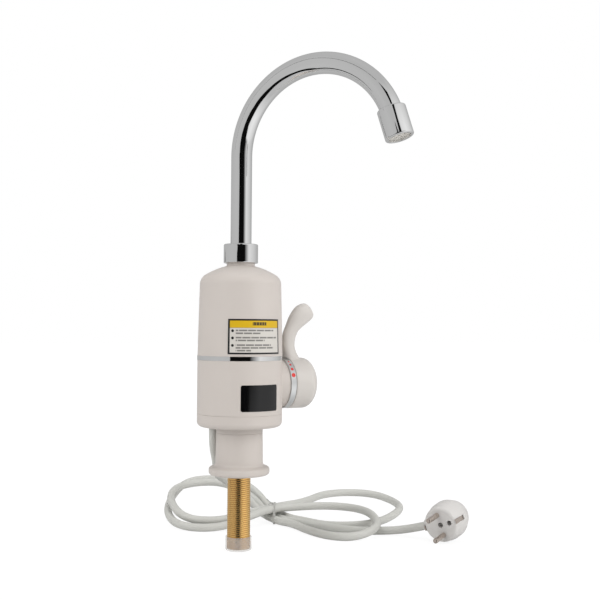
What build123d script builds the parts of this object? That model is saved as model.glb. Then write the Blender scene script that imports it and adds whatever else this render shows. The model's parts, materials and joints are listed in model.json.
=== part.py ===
"""Electric instant water heater tap, built as separate pieces in millimetres.

The frame: +Z is up along the body's axis, z = 0 is the underside of the base flange (the worktop's
surface), -Y is the front with the display, and the lever's axis points along +X.
"""

from build123d import *
from math import acos, cos, degrees, dist, hypot, radians, sin, sqrt, tan
import os

# Fits and cuts
running_gap = 0.05  # radial clearance of a piece that turns or slides in another
seat_gap = 0.1  # clearance of a piece that is dropped into its seat
free_gap = 0.3  # clearance between pieces of different bodies
overrun = 1.0  # how far a cutting tool runs past the face that it cuts

# Body column
body_r = 38.5
body_taper = 1.6  # how much narrower the body is at its shoulder
wall = 2.5
cap_bottom = 43.5
cap_edge = 4.8
cap_seam = 55.3
seam_chamfer = 0.4
band_low = 103.6
band_high = 107.4
band_proud = 0.25
spigot_wall = 1.0
spigot_lap = 3.0
shoulder_start = 172.0
shoulder_inset = 5.9  # from the shoulder's edge in to the crown
shoulder_rise = 9.1
crown_rise = 7.5
collar_r = 12.8
collar_height = 2.6
outlet_thread_r = 12.4
outlet_thread_length = 13.4

# Foot that stands on the worktop
flange_r = 27.5
flange_height = 6.4
flange_round = 3.0
flange_top_round = 2.4
flange_crown = 1.2  # rise of the flange's top from its edge to the cove
neck_foot_r = 21.5
neck_top_r = 21.1
neck_top = 38.0
cove_r = 3.4
boss_r = 11.8
boss_drop = 1.0
seal_groove_r = 19.0
seal_ring_r = 1.4

# Inlet shank with its G1/2 thread, locknut and washer
thread_r = 10.48
thread_pitch = 1.814
thread_depth = 0.9
thread_crest_share = 0.42
shank_bore_r = 7.5
shank_end = -66.0
shank_plain_r = 10.2
shank_top = 52.0
locknut_flats = 27.0
locknut_height = 5.0
washer_height = 1.5
thread_cap_low = -67.7
thread_cap_rim = -55.5
thread_cap_r = 11.75
thread_cap_edge = 1.6
thread_cap_floor = 1.4

# Valve, stem and lever
valve_z = 81.6
valve_barrel_r = 10.6
valve_left = -6.0
cartridge_flange = 1.7
valve_inlet_r = 9.2
valve_water_r = 5.0
chamber_r = 9.0
chamber_start = 10.0
stem_r = 4.0
stem_reach = 17.4  # into the knob
stub_r = 21.9
stub_reach = 2.7  # past the body's side
ring_width = 5.1
ring_r = 23.2
ring_bore_r = 9.0
mark_proud = 0.15
mark_sink = 0.6
mark_radii = (0.85, 1.1, 1.45, 1.95)
mark_angles = (30.0, 41.0, 54.0, 69.0)
knob_r = 23.4
knob_straight = 15.9
knob_dome = 12.1
knob_hollow_r = 18.0
knob_hollow = 9.4
knob_hub_r = 7.5
dome_steps = 4
grub_r = 2.0
grub_length = 9.0
grub_place = 13.4  # from the knob's back

# Lever sections: place from the knob's back, height, half thickness, half width, lean in degrees
lever_sections = (
    (5.4, 10.0, 7.8, 10.0, 0.0),
    (5.0, 23.0, 7.5, 8.2, 0.0),
    (3.0, 30.0, 6.1, 5.6, 0.0),
    (2.3, 37.0, 6.2, 4.7, 2.0),
    (3.4, 44.0, 6.5, 4.5, 10.0),
    (6.3, 51.0, 6.6, 4.6, 24.0),
    (11.2, 58.0, 8.3, 5.2, 38.0),
    (15.6, 63.3, 8.8, 5.4, 44.0),
    (20.4, 66.8, 7.3, 4.6, 47.0),
    (22.3, 68.6, 4.0, 2.6, 47.0),
)

# Display, sticker and electrics
window_azimuth = -85.0
window_half_angle = 28.2
window_low = 59.5
window_high = 82.5
window_thickness = 2.0
window_proud = 0.15
board_gap = 1.2
board_thickness = 1.6
board_width = 30.0
digit_height = 12.0
digit_width = 24.0
digit_depth = 1.8
sticker_azimuth = -91.5
sticker_half_angle = 39.4
sticker_low = 109.6
sticker_high = 140.4
sticker_thickness = 0.2
control_gap = 2.3  # between the board and the pillar behind it
control_side_gap = 19.0  # from the board's end to the housing's inside
control_low = 62.0
control_high = 90.0
triac_size = 9.0
triac_depth = 3.5
terminal_width = 12.0
terminal_depth = 7.0
terminal_height = 7.5

# Flow switch
flow_x = -15.5
flow_r = 8.5
flow_bore_r = 5.5
flow_low = 70.0
float_height = 7.0
float_travel = 4.0
float_seat = 3.0

# Heating tank
shelf_z = 95.0
shelf_width = 4.5
shelf_thickness = 2.5
tank_base_thickness = 3.0
tank_gap = 6.0  # between the tank and the housing's inside
tank_wall = 1.2
tank_top_gap = 4.0  # below the height where the shoulder starts
tank_dome = 6.0
tank_flange_gap = 0.7  # between the tank's flange and the housing's inside
tank_flange_thickness = 2.0
tank_outlet_r = 7.0
tank_outlet_gap = 3.0  # below the spout's foot
element_wire_r = 3.2
element_coil_r = 17.0
element_turns = 4
element_foot_gap = 14.0  # over the tank's floor
element_top_gap = 12.0  # under the tank's top
element_bend_r = 6.0
cutout_r = 7.0
cutout_depth = 3.2
cutout_z = 150.0
cutout_azimuth = 100.0

# Screws
cap_screw_r = 1.6
cap_screw_head_r = 2.9
cap_screw_head = 1.8
cap_screw_length = 14.0
cap_screw_inset = 7.0  # in from the housing's inside
cap_screw_azimuths = (85.0, 215.0, 320.0)
pillar_r = 3.6
tank_screw_inset = 3.0
tank_screw_r = 1.3
tank_screw_head_r = 2.3
tank_screw_head = 1.4
tank_screw_azimuths = (60.0, 180.0, 300.0)

# Spout, nut, collar and aerator
spout_r = 9.55
spout_bore_r = 7.5
spout_socket = 24.6  # length of the spout inside the outlet
spout_bead_r = 11.4
spout_bead = 1.4
riser_length = 83.4  # from the outlet's top to the arch
arc_radius = 77.0
arc_angle = 162.0
spout_tail = 12.0
spout_azimuth = -57.0
nut_r = 15.6
nut_height = 17.3
nut_lip = 1.8
nut_round = 0.9
seal_wire_r = 0.9
seal_depth = 1.0
seal_low_rise = 6.0  # over the spout's foot
seal_high_rise = 16.0
nozzle_r = 12.5
nozzle_start = -6.5
nozzle_length = 26.5
nozzle_round = 1.6
nozzle_lip_r = 9.9
nozzle_mouth_r = 9.6
nozzle_mouth = 2.0
aerator_holes = 6
aerator_hole_r = 1.1
aerator_hole_circle = 5.0

# Mains cord, its gland and its lay; lay places are (right, behind, height over the table) of the tie
cord_r = 3.9
gland_azimuth = 125.0
gland_inset = 8.0
gland_r = 5.4
gland_drop = 1.0
gland_rise = 3.0
gland_flange = 1.4
inner_bend_r = 6.0
bend_run_share = 0.45
straight_share = 0.00001  # a turn this small counts as none
knob_yaw = 28.0  # turn of the tied cord's long side away from the lever's axis
tie_right = 29.3
tie_behind = 126.4
lead_route = ((-54.2, -112.0, 92.0), (-52.5, -98.0, 77.0), (-54.0, -70.0, 62.0), (-56.0, -34.0, 53.9))
tail_reach = 50.0
tail_route = ((73.0, -56.0, 3.9), (101.0, -60.0, 3.9))
tail_end_run = 22.0
waist_angle = 42.0
waist_step = 8.7
low_layer = 4.7
high_layer = 13.2
waist_low_run = 13.0
waist_first_run = 8.8
waist_high_run = 12.5
hank_end = 24.0
measure_step = 2.0  # between the points where the tied cord's gap to itself is measured

# Loops of the tied cord: (right, behind, height) and (heading, slope) in degrees at each place
lead_fall = (((-46.1, 11.1, 35.5), (43.4, -45.3)),)
b_loop = (
    ((49.1, -74.5, 3.9), (-44.6, 0.0)),
    ((65.0, -82.8, 4.8), (-10.6, 5.6)),
    ((101.0, -50.0, 14.3), (92.0, 5.0)),
    ((70.0, 10.0, 12.9), (165.0, 0.0)),
)
x_loop = (
    ((-70.0, -50.0, 3.9), (180.0, 0.0)),
    ((-109.0, 14.0, 15.9), (92.0, 12.0)),
    ((-78.0, 80.0, 31.9), (8.0, 0.0)),
    ((-28.0, 58.0, 23.9), (-56.0, -24.0)),
)
a_loop = (
    ((74.0, -38.0, 3.9), (0.0, 0.0)),
    ((132.0, 42.0, 8.9), (92.0, 0.0)),
    ((86.0, 91.0, 13.9), (182.0, 0.0)),
)
y_loop = (
    ((-72.3, -46.6, 14.0), (187.0, -1.0)),
    ((-108.0, 14.9, 25.9), (89.6, 10.4)),
    ((-72.4, 61.8, 31.0), (3.4, -0.2)),
    ((-30.4, 40.2, 19.9), (-54.3, -19.5)),
)

# Wire tie round the cord's crossing
tie_low_reach = 14.9
tie_high_reach = 9.0
tie_width = 2.4
tie_thickness = 0.5
tie_slack = 0.3
knot_r = 1.6
knot_place = -4.0
knot_tail = 5.0
knot_tail_r = 0.5
knot_tail_lean = 30.0

# Plug
plug_r = 18.2
plug_depth = 31.5
plug_back_r = 14.0
plug_back_length = 10.0
plug_round = 3.0
plug_yaw = -151.0
plug_pitch = -7.8
plug_roll = 18.0
plug_right = 156.7
plug_ahead = 101.0
plug_height = 18.1
boot_r = 6.0
boot_length = 4.0
boot_depth = 14.0
pin_r = 2.4
pin_length = 19.0
pin_pitch = 19.0
pin_root = 6.0
pin_root_r = 2.1
clip_width = 4.2
clip_thickness = 1.0
clip_length = 15.0
earth_hole_r = 2.4
earth_hole_depth = 12.0
plug_screw_r = 2.6

# What follows is worked out from the sizes above
inner_r = body_r - wall
body_top_r = body_r - body_taper
shoulder_turn_r = body_top_r - shoulder_inset
shoulder_turn_z = shoulder_start + shoulder_rise
collar_foot = shoulder_turn_z + crown_rise
nut_low = collar_foot + collar_height
outlet_top = nut_low + outlet_thread_length
nut_top = nut_low + nut_height
spout_foot = outlet_top - spout_socket
seal_places = (spout_foot + seal_low_rise, spout_foot + seal_high_rise)
arc_centre_z = outlet_top + riser_length
tank_r = inner_r - tank_gap
tank_top = shoulder_start - tank_top_gap
tank_outlet_top = spout_foot - tank_outlet_gap
tank_screw_circle = inner_r - tank_screw_inset
cap_screw_circle = inner_r - cap_screw_inset
gland_circle = inner_r - gland_inset
stub_end = body_r + stub_reach
ring_end = stub_end + ring_width
knob_start = ring_end + free_gap
knob_dome_start = knob_start + knob_straight
knob_end = knob_dome_start + knob_dome
knob_hollow_end = knob_start + knob_hollow
grub_x = knob_start + grub_place
stem_end = knob_start + stem_reach
valve_right = stub_end - wall - cartridge_flange
control_y = cap_screw_circle - pillar_r - control_gap - board_thickness
control_width = 2 * (inner_r - control_side_gap)
spigot_r = inner_r + spigot_wall - seat_gap
table_z = thread_cap_low
os.makedirs("parts", exist_ok=True)


def polar(radius, azimuth, z=0):
    """Point at a radius and an azimuth in degrees round the body's axis."""
    return Vector(radius * cos(radians(azimuth)), radius * sin(radians(azimuth)), z)


def save(part, name):
    """Label a finished piece and write its STEP file."""
    part.label = name
    export_step(part, f"parts/{name}.step")


def shell_points(inset):
    """Outline of the upper housing from its foot to its collar, moved inwards by inset."""
    return [
        (body_r - inset, band_high),
        (body_top_r - inset, shoulder_start),
        (shoulder_turn_r - inset, shoulder_turn_z - inset),
        (collar_r, collar_foot - inset),
    ]


def shoulder_middle(start, end, bulge_share):
    """Point beside the middle of a chord, pushed outwards and upwards by a share of its length."""
    length = hypot(end[0] - start[0], end[1] - start[1])
    across = ((start[1] - end[1]) / length, (end[0] - start[0]) / length)
    push = -bulge_share * length
    return (
        (start[0] + end[0]) / 2 + across[0] * push,
        (start[1] + end[1]) / 2 + across[1] * push,
    )


corner_bulge_share = 0.14
crown_bulge_share = 0.035

# Foot: flange and neck in one moulding, with the shank's hole
cove_low = flange_height + flange_crown
cove_share = 1 - cos(radians(45))
with BuildPart() as neck_pedestal:
    with BuildSketch(Plane.XZ):
        with BuildLine():
            Polyline(
                (thread_r + seat_gap, -boss_drop),
                (boss_r, -boss_drop),
                (boss_r, 0),
                (flange_r, 0),
                (flange_r, flange_height),
                (neck_foot_r + cove_r, cove_low),
            )
            ThreePointArc(
                (neck_foot_r + cove_r, cove_low),
                (neck_foot_r + cove_r * cove_share, cove_low + cove_r * cove_share),
                (neck_foot_r, cove_low + cove_r),
            )
            Polyline(
                (neck_foot_r, cove_low + cove_r),
                (neck_top_r, neck_top),
                (thread_r + seat_gap, neck_top),
                (thread_r + seat_gap, -boss_drop),
            )
        make_face()
    revolve(axis=Axis.Z)
    rim = neck_pedestal.edges().filter_by(GeomType.CIRCLE)
    fillet(rim.filter_by_position(Axis.Z, 0, 0).sort_by(SortBy.RADIUS)[-1], flange_round)
    fillet(rim.filter_by_position(Axis.Z, flange_height, flange_height), flange_top_round)
    chamfer(rim.filter_by_position(Axis.Z, neck_top, neck_top).sort_by(SortBy.RADIUS)[-1], seam_chamfer)
    with BuildSketch(Plane.XZ) as groove:
        with Locations((seal_groove_r, 0)):
            Circle(seal_ring_r + seat_gap)
    revolve(axis=Axis.Z, mode=Mode.SUBTRACT)
save(neck_pedestal.part, "neck_pedestal")

# Rubber ring in the flange's underside, flush with it
with BuildPart() as deck_seal:
    with BuildSketch(Plane.XZ):
        with Locations((seal_groove_r, 0)):
            Circle(seal_ring_r)
        with Locations((seal_groove_r, -seal_ring_r)):
            Rectangle(4 * seal_ring_r, 2 * seal_ring_r, mode=Mode.SUBTRACT)
    revolve(axis=Axis.Z)
save(deck_seal.part, "deck_seal")

# Brass shank: threaded below the flange, plain in the neck, with a through bore
thread_count = int((-boss_drop - shank_end) / thread_pitch)
with BuildPart() as inlet_shank:
    with BuildSketch(Plane.XY.offset(shank_end)):
        Circle(thread_r)
        Circle(shank_bore_r, mode=Mode.SUBTRACT)
    extrude(amount=-shank_end - boss_drop)
    with BuildSketch(Plane.XY.offset(-boss_drop)):
        Circle(shank_plain_r)
        Circle(shank_bore_r, mode=Mode.SUBTRACT)
    extrude(amount=shank_top + boss_drop)
    half_gap = thread_pitch * (1 - thread_crest_share) / 2
    with BuildSketch(Plane.XZ):
        for turn in range(thread_count):
            low = shank_end + thread_pitch * (turn + thread_crest_share)
            with BuildLine():
                Polyline(
                    (thread_r + overrun, low),
                    (thread_r, low),
                    (thread_r - thread_depth, low + half_gap),
                    (thread_r, low + 2 * half_gap),
                    (thread_r + overrun, low + 2 * half_gap),
                    close=True,
                )
            make_face()
    revolve(axis=Axis.Z, mode=Mode.SUBTRACT)
save(inlet_shank.part, "inlet_shank")

# Soft cap pushed over the thread's end
with BuildPart() as thread_cap:
    with BuildSketch(Plane.XY.offset(thread_cap_low)):
        Circle(thread_cap_r)
    extrude(amount=thread_cap_rim - thread_cap_low)
    fillet(thread_cap.faces().sort_by(Axis.Z)[0].edges(), thread_cap_edge)
    with BuildSketch(Plane.XY.offset(thread_cap_low + thread_cap_floor)):
        Circle(thread_r + seat_gap)
    extrude(amount=thread_cap_rim - thread_cap_low, mode=Mode.SUBTRACT)
save(thread_cap.part, "thread_cap")

# Hexagonal locknut that clamps the foot and the bottom cap together
locknut_low = cap_bottom + wall
with BuildPart() as shank_locknut:
    with BuildSketch(Plane.XY.offset(locknut_low)):
        RegularPolygon(locknut_flats / 2, 6, major_radius=False)
        Circle(shank_plain_r + running_gap, mode=Mode.SUBTRACT)
    extrude(amount=locknut_height)
save(shank_locknut.part, "shank_locknut")

# Rubber washer between the shank and the valve
with BuildPart() as inlet_washer:
    with BuildSketch(Plane.XY.offset(shank_top)):
        Circle(shank_plain_r)
        Circle(shank_bore_r, mode=Mode.SUBTRACT)
    extrude(amount=washer_height)
save(inlet_washer.part, "inlet_washer")

# Bottom cap with its spigot on the neck, screw holes and the gland's hole
gland_place = polar(gland_circle, gland_azimuth)
with BuildPart() as bottom_cap:
    with BuildSketch(Plane.XY.offset(cap_bottom)):
        Circle(body_r)
    extrude(amount=cap_seam - cap_bottom)
    fillet(bottom_cap.faces().sort_by(Axis.Z)[0].edges(), cap_edge)
    chamfer(bottom_cap.faces().sort_by(Axis.Z)[-1].edges(), seam_chamfer)
    with BuildSketch(Plane.XY.offset(cap_bottom + wall)):
        Circle(inner_r)
    extrude(amount=cap_seam - cap_bottom, mode=Mode.SUBTRACT)
    with BuildSketch(Plane.XY.offset(neck_top)):
        Circle(neck_top_r)
    extrude(amount=cap_bottom + wall - neck_top)
    with BuildSketch(Plane.XY.offset(neck_top - overrun)):
        Circle(shank_plain_r + seat_gap)
        with Locations(gland_place):
            Circle(gland_r + seat_gap)
        with Locations([polar(cap_screw_circle, a) for a in cap_screw_azimuths]):
            Circle(cap_screw_r + seat_gap)
    extrude(amount=cap_seam, mode=Mode.SUBTRACT)
    with BuildSketch(Plane.XY.offset(cap_bottom)):
        with Locations([polar(cap_screw_circle, a) for a in cap_screw_azimuths]):
            Circle(cap_screw_head_r + seat_gap)
    extrude(amount=cap_screw_head, mode=Mode.SUBTRACT)
save(bottom_cap.part, "bottom_cap")

# Lower housing: drum, side stub for the valve, window, shelf for the tank, pillars and spigot
pillar_low = cap_bottom + wall + seat_gap
with BuildPart() as lower_housing:
    with BuildSketch(Plane.XY.offset(cap_seam)):
        Circle(body_r)
    extrude(amount=band_low - cap_seam)
    with BuildSketch(Plane.YZ):
        with Locations((0, valve_z)):
            Circle(stub_r)
    extrude(amount=stub_end)
    with BuildSketch(Plane.XY.offset(band_low)):
        Circle(spigot_r)
    extrude(amount=band_high - band_low + spigot_lap)
    with BuildSketch(Plane.XY.offset(cap_seam - overrun)):
        Circle(inner_r)
    extrude(amount=band_high + spigot_lap, mode=Mode.SUBTRACT)
    with BuildSketch(Plane.YZ):
        with Locations((0, valve_z)):
            Circle(stub_r - wall)
    extrude(amount=stub_end - wall, mode=Mode.SUBTRACT)
    with BuildSketch(Plane.YZ):
        with Locations((0, valve_z)):
            Circle(ring_bore_r)
    extrude(amount=stub_end + overrun, mode=Mode.SUBTRACT)
    with BuildSketch(Plane.XY.offset(shelf_z - shelf_thickness)):
        Circle(inner_r)
        Circle(inner_r - shelf_width, mode=Mode.SUBTRACT)
    extrude(amount=shelf_thickness)
    for azimuth in cap_screw_azimuths:
        with BuildSketch(Plane.XY.offset(pillar_low)):
            with Locations(polar(cap_screw_circle, azimuth)):
                Circle(pillar_r)
            with Locations(polar((cap_screw_circle + inner_r) / 2, azimuth)):
                Rectangle(inner_r - cap_screw_circle, wall, rotation=azimuth)
        extrude(amount=shelf_z - shelf_thickness - pillar_low)
    with BuildSketch(Plane.XY.offset(pillar_low)):
        Circle(body_r)
        Circle(inner_r - seat_gap, mode=Mode.SUBTRACT)
    extrude(amount=cap_seam - pillar_low, mode=Mode.SUBTRACT)
    with BuildSketch(Plane.XY.offset(pillar_low - overrun)):
        with Locations([polar(cap_screw_circle, a) for a in cap_screw_azimuths]):
            Circle(cap_screw_r)
    extrude(amount=cap_screw_length, mode=Mode.SUBTRACT)
    with BuildSketch(Plane.XY.offset(window_low - seat_gap)):
        with BuildLine():
            edge_angle = window_half_angle + degrees(seat_gap / body_r)
            reach = body_r + wall
            start = polar(reach, window_azimuth - edge_angle)
            end = polar(reach, window_azimuth + edge_angle)
            Line((0, 0), start)
            ThreePointArc(start, polar(reach, window_azimuth), end)
            Line(end, (0, 0))
        make_face()
        Circle(inner_r - overrun, mode=Mode.SUBTRACT)
    extrude(amount=window_high - window_low + 2 * seat_gap, mode=Mode.SUBTRACT)
save(lower_housing.part, "lower_housing")

# Bright band between the housings
with BuildPart() as chrome_band:
    with BuildSketch(Plane.XY.offset(band_low)):
        Circle(body_r + band_proud)
        Circle(spigot_r + seat_gap, mode=Mode.SUBTRACT)
    extrude(amount=band_high - band_low)
    chamfer(chrome_band.faces().filter_by(GeomType.CYLINDER).sort_by(Axis.X)[-1].edges(), band_proud)
save(chrome_band.part, "chrome_band")

# Upper housing: tapered shell with a crowned shoulder and the spout's collar
outer = shell_points(0)
inner = shell_points(wall)
with BuildPart() as upper_housing:
    with BuildSketch(Plane.XZ):
        with BuildLine():
            Line((collar_r - wall, band_high), outer[0])
            Line(outer[0], outer[1])
            ThreePointArc(outer[1], shoulder_middle(outer[1], outer[2], corner_bulge_share), outer[2])
            ThreePointArc(outer[2], shoulder_middle(outer[2], outer[3], crown_bulge_share), outer[3])
            Polyline(
                outer[3],
                (collar_r, nut_low),
                (outlet_thread_r, nut_low),
                (outlet_thread_r, outlet_top),
                (spout_r + running_gap, outlet_top),
                (spout_r + running_gap, tank_outlet_top),
                (tank_outlet_r + seat_gap, tank_outlet_top),
                (tank_outlet_r + seat_gap, band_high),
                (collar_r - wall, band_high),
            )
        make_face()
    revolve(axis=Axis.Z)
    with BuildSketch(Plane.XZ):
        with BuildLine():
            Polyline(
                (tank_outlet_r + wall, band_high - overrun),
                (inner[0][0] + seat_gap, band_high - overrun),
                inner[0],
                inner[1],
            )
            ThreePointArc(inner[1], shoulder_middle(inner[1], inner[2], corner_bulge_share), inner[2])
            Line(inner[2], (outlet_thread_r, tank_outlet_top))
            Polyline(
                (outlet_thread_r, tank_outlet_top),
                (outlet_thread_r, tank_top + tank_wall + wall),
                (tank_outlet_r - seat_gap, tank_top + tank_wall + wall),
                (tank_outlet_r - seat_gap, band_high - overrun),
                (tank_outlet_r + wall, band_high - overrun),
            )
        make_face()
    revolve(axis=Axis.Z, mode=Mode.SUBTRACT)
    with BuildSketch(Plane.XY.offset(band_high - overrun)):
        Circle(spigot_r + seat_gap)
    extrude(amount=spigot_lap + overrun + seat_gap, mode=Mode.SUBTRACT)
save(upper_housing.part, "upper_housing")

# Spout nut with its inner lip over the spout's bead
with BuildPart() as spout_nut:
    with BuildSketch(Plane.XY.offset(nut_low)):
        Circle(nut_r)
    extrude(amount=nut_top - nut_low)
    fillet(spout_nut.faces().filter_by(GeomType.PLANE).edges(), nut_round)
    with BuildSketch(Plane.XY.offset(nut_low - overrun)):
        Circle(outlet_thread_r + seat_gap)
    extrude(amount=nut_top - nut_lip - nut_low + overrun, mode=Mode.SUBTRACT)
    with BuildSketch(Plane.XY.offset(nut_low)):
        Circle(spout_r + free_gap)
    extrude(amount=nut_top, mode=Mode.SUBTRACT)
save(spout_nut.part, "spout_nut")

# Spout: foot in the collar, riser, arch and tail, bent from one tube
spout_out = polar(1, spout_azimuth)
arch_end = Vector(0, 0, arc_centre_z) + spout_out * (arc_radius * (1 - cos(radians(arc_angle))))
arch_end += Vector(0, 0, arc_radius * sin(radians(arc_angle)))
arch_top = Vector(0, 0, arc_centre_z + arc_radius) + spout_out * arc_radius
nozzle_axis = spout_out * sin(radians(arc_angle)) + Vector(0, 0, cos(radians(arc_angle)))
bead_low = outlet_top + seat_gap
with BuildPart() as spout_tube:
    with BuildLine() as spout_path:
        Line((0, 0, spout_foot), (0, 0, arc_centre_z))
        ThreePointArc((0, 0, arc_centre_z), arch_top, arch_end)
        Line(arch_end, arch_end + nozzle_axis * spout_tail)
    with BuildSketch(Plane.XY.offset(spout_foot)):
        Circle(spout_r)
    sweep(path=spout_path.wires()[0])
    with BuildSketch(Plane.XY.offset(spout_foot)):
        Circle(spout_bore_r)
    sweep(path=spout_path.wires()[0], mode=Mode.SUBTRACT)
    with BuildSketch(Plane.XY.offset(bead_low)):
        Circle(spout_bead_r)
        Circle(spout_r - overrun / 2, mode=Mode.SUBTRACT)
    extrude(amount=spout_bead)
    for place in seal_places:
        with BuildSketch(Plane.XY.offset(place - seal_wire_r)):
            Circle(spout_r + overrun)
            Circle(spout_r - seal_depth, mode=Mode.SUBTRACT)
        extrude(amount=2 * seal_wire_r, mode=Mode.SUBTRACT)
save(spout_tube.part, "spout_tube")

# Two rubber rings in the spout foot's grooves
with BuildPart() as spout_seals:
    for place in seal_places:
        with BuildSketch(Plane.XZ):
            with Locations((spout_r - seal_depth / 2, place)):
                Rectangle(seal_depth, 2 * (seal_wire_r - running_gap))
        revolve(axis=Axis.Z)
save(spout_seals.part, "spout_seals")

# Nozzle collar at the spout's end, with the aerator in its mouth
nozzle_origin = arch_end + nozzle_axis * nozzle_start
nozzle_plane = Plane(origin=nozzle_origin, x_dir=Vector(0, 0, 1).cross(nozzle_axis), z_dir=nozzle_axis)
chamber_floor = spout_tail - nozzle_start + seat_gap
aerator_r = nozzle_r - wall
with BuildPart() as nozzle_collar:
    with BuildSketch(nozzle_plane):
        Circle(nozzle_r)
    extrude(amount=nozzle_length)
    fillet(nozzle_collar.faces().filter_by(GeomType.PLANE).edges(), nozzle_round)
    with BuildSketch(nozzle_plane):
        Circle(nozzle_lip_r)
    extrude(amount=chamber_floor, mode=Mode.SUBTRACT)
    with BuildSketch(nozzle_plane.offset(chamber_floor)):
        Circle(aerator_r)
    extrude(amount=nozzle_length - nozzle_mouth - chamber_floor, mode=Mode.SUBTRACT)
    with BuildSketch(nozzle_plane.offset(chamber_floor)):
        Circle(nozzle_mouth_r)
    extrude(amount=nozzle_length, mode=Mode.SUBTRACT)
save(nozzle_collar.part, "nozzle_collar")

with BuildPart() as aerator_insert:
    with BuildSketch(nozzle_plane.offset(chamber_floor + seat_gap)):
        Circle(aerator_r - seat_gap)
    extrude(amount=nozzle_length - nozzle_mouth - chamber_floor - 2 * seat_gap)
    with BuildSketch(nozzle_plane.offset(chamber_floor + seat_gap)):
        with PolarLocations(aerator_hole_circle, aerator_holes):
            Circle(aerator_hole_r)
        Circle(aerator_hole_r)
    extrude(amount=nozzle_length, mode=Mode.SUBTRACT)
save(aerator_insert.part, "aerator_insert")

# Valve body: inlet pipe up from the washer, barrel for the cartridge, channel to the flow switch
valve_foot = shank_top + washer_height
with BuildPart() as valve_body:
    with BuildSketch(Plane.XY.offset(valve_foot)):
        Circle(valve_inlet_r)
    extrude(amount=valve_z - valve_foot)
    with BuildSketch(Plane.YZ.offset(valve_left)):
        with Locations((0, valve_z)):
            Circle(valve_barrel_r)
    extrude(amount=valve_right - valve_left)
    with BuildSketch(Plane.XY.offset(valve_foot)):
        Circle(valve_water_r)
    extrude(amount=valve_z - valve_foot, mode=Mode.SUBTRACT)
    with BuildSketch(Plane.YZ.offset(chamber_start)):
        with Locations((0, valve_z)):
            Circle(chamber_r)
    extrude(amount=valve_right, mode=Mode.SUBTRACT)
    with BuildSketch(Plane.YZ.offset(valve_left - overrun)):
        with Locations((0, valve_z)):
            Circle(valve_water_r / 2)
    extrude(amount=chamber_start - valve_left + 2 * overrun, mode=Mode.SUBTRACT)
    with BuildSketch(Plane.XY.offset(flow_low - seat_gap)):
        with Locations((flow_x, 0)):
            Circle(flow_r + seat_gap)
    extrude(amount=shelf_z, mode=Mode.SUBTRACT)
save(valve_body.part, "valve_body")

# Ceramic cartridge with its flange against the barrel's end, and the splined stem through it
with BuildPart() as valve_cartridge:
    with BuildSketch(Plane.YZ.offset(chamber_start + seat_gap)):
        with Locations((0, valve_z)):
            Circle(chamber_r - seat_gap)
    extrude(amount=valve_right - chamber_start - seat_gap)
    with BuildSketch(Plane.YZ.offset(valve_right)):
        with Locations((0, valve_z)):
            Circle(chamber_r + seat_gap)
    extrude(amount=stub_end - wall - valve_right - seat_gap)
    with BuildSketch(Plane.YZ.offset((chamber_start + valve_right) / 2)):
        with Locations((0, valve_z)):
            Circle(stem_r + running_gap)
    extrude(amount=valve_right, mode=Mode.SUBTRACT)
save(valve_cartridge.part, "valve_cartridge")

with BuildPart() as valve_stem:
    with BuildSketch(Plane.YZ.offset((chamber_start + valve_right) / 2 + free_gap)):
        with Locations((0, valve_z)):
            Circle(stem_r)
    extrude(amount=stem_end - (chamber_start + valve_right) / 2 - free_gap)
    with BuildSketch(Plane.XY.offset(valve_z - stem_r)):
        with Locations((grub_x, 0)):
            Circle(grub_r + seat_gap)
    extrude(amount=stem_r / 4, mode=Mode.SUBTRACT)
save(valve_stem.part, "valve_stem")

# Ring round the stub's end, with the hot and cold marks set into it
with BuildPart() as indicator_ring:
    with BuildSketch(Plane.YZ.offset(stub_end)):
        with Locations((0, valve_z)):
            Circle(ring_r)
            Circle(ring_bore_r, mode=Mode.SUBTRACT)
    extrude(amount=ring_end - stub_end)
    for side in (-1, 1):
        for angle, mark in zip(mark_angles, mark_radii):
            spoke = Vector(0, side * sin(radians(angle)), cos(radians(angle)))
            centre = Vector((stub_end + ring_end) / 2, 0, valve_z)
            seat = Plane(origin=centre + spoke * (ring_r - mark_sink), x_dir=(1, 0, 0), z_dir=spoke)
            with BuildSketch(seat):
                Circle(mark)
            extrude(amount=2 * mark_sink, mode=Mode.SUBTRACT)
save(indicator_ring.part, "indicator_ring")

for side, mark_name in ((-1, "hot_marks"), (1, "cold_marks")):
    with BuildPart() as marks:
        for angle, mark in zip(mark_angles, mark_radii):
            spoke = Vector(0, side * sin(radians(angle)), cos(radians(angle)))
            centre = Vector((stub_end + ring_end) / 2, 0, valve_z)
            seat = Plane(origin=centre + spoke * (ring_r - mark_sink), x_dir=(1, 0, 0), z_dir=spoke)
            with BuildSketch(seat):
                Circle(mark - mark_proud / 3)
            extrude(amount=mark_sink + mark_proud)
    save(marks.part, mark_name)

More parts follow.
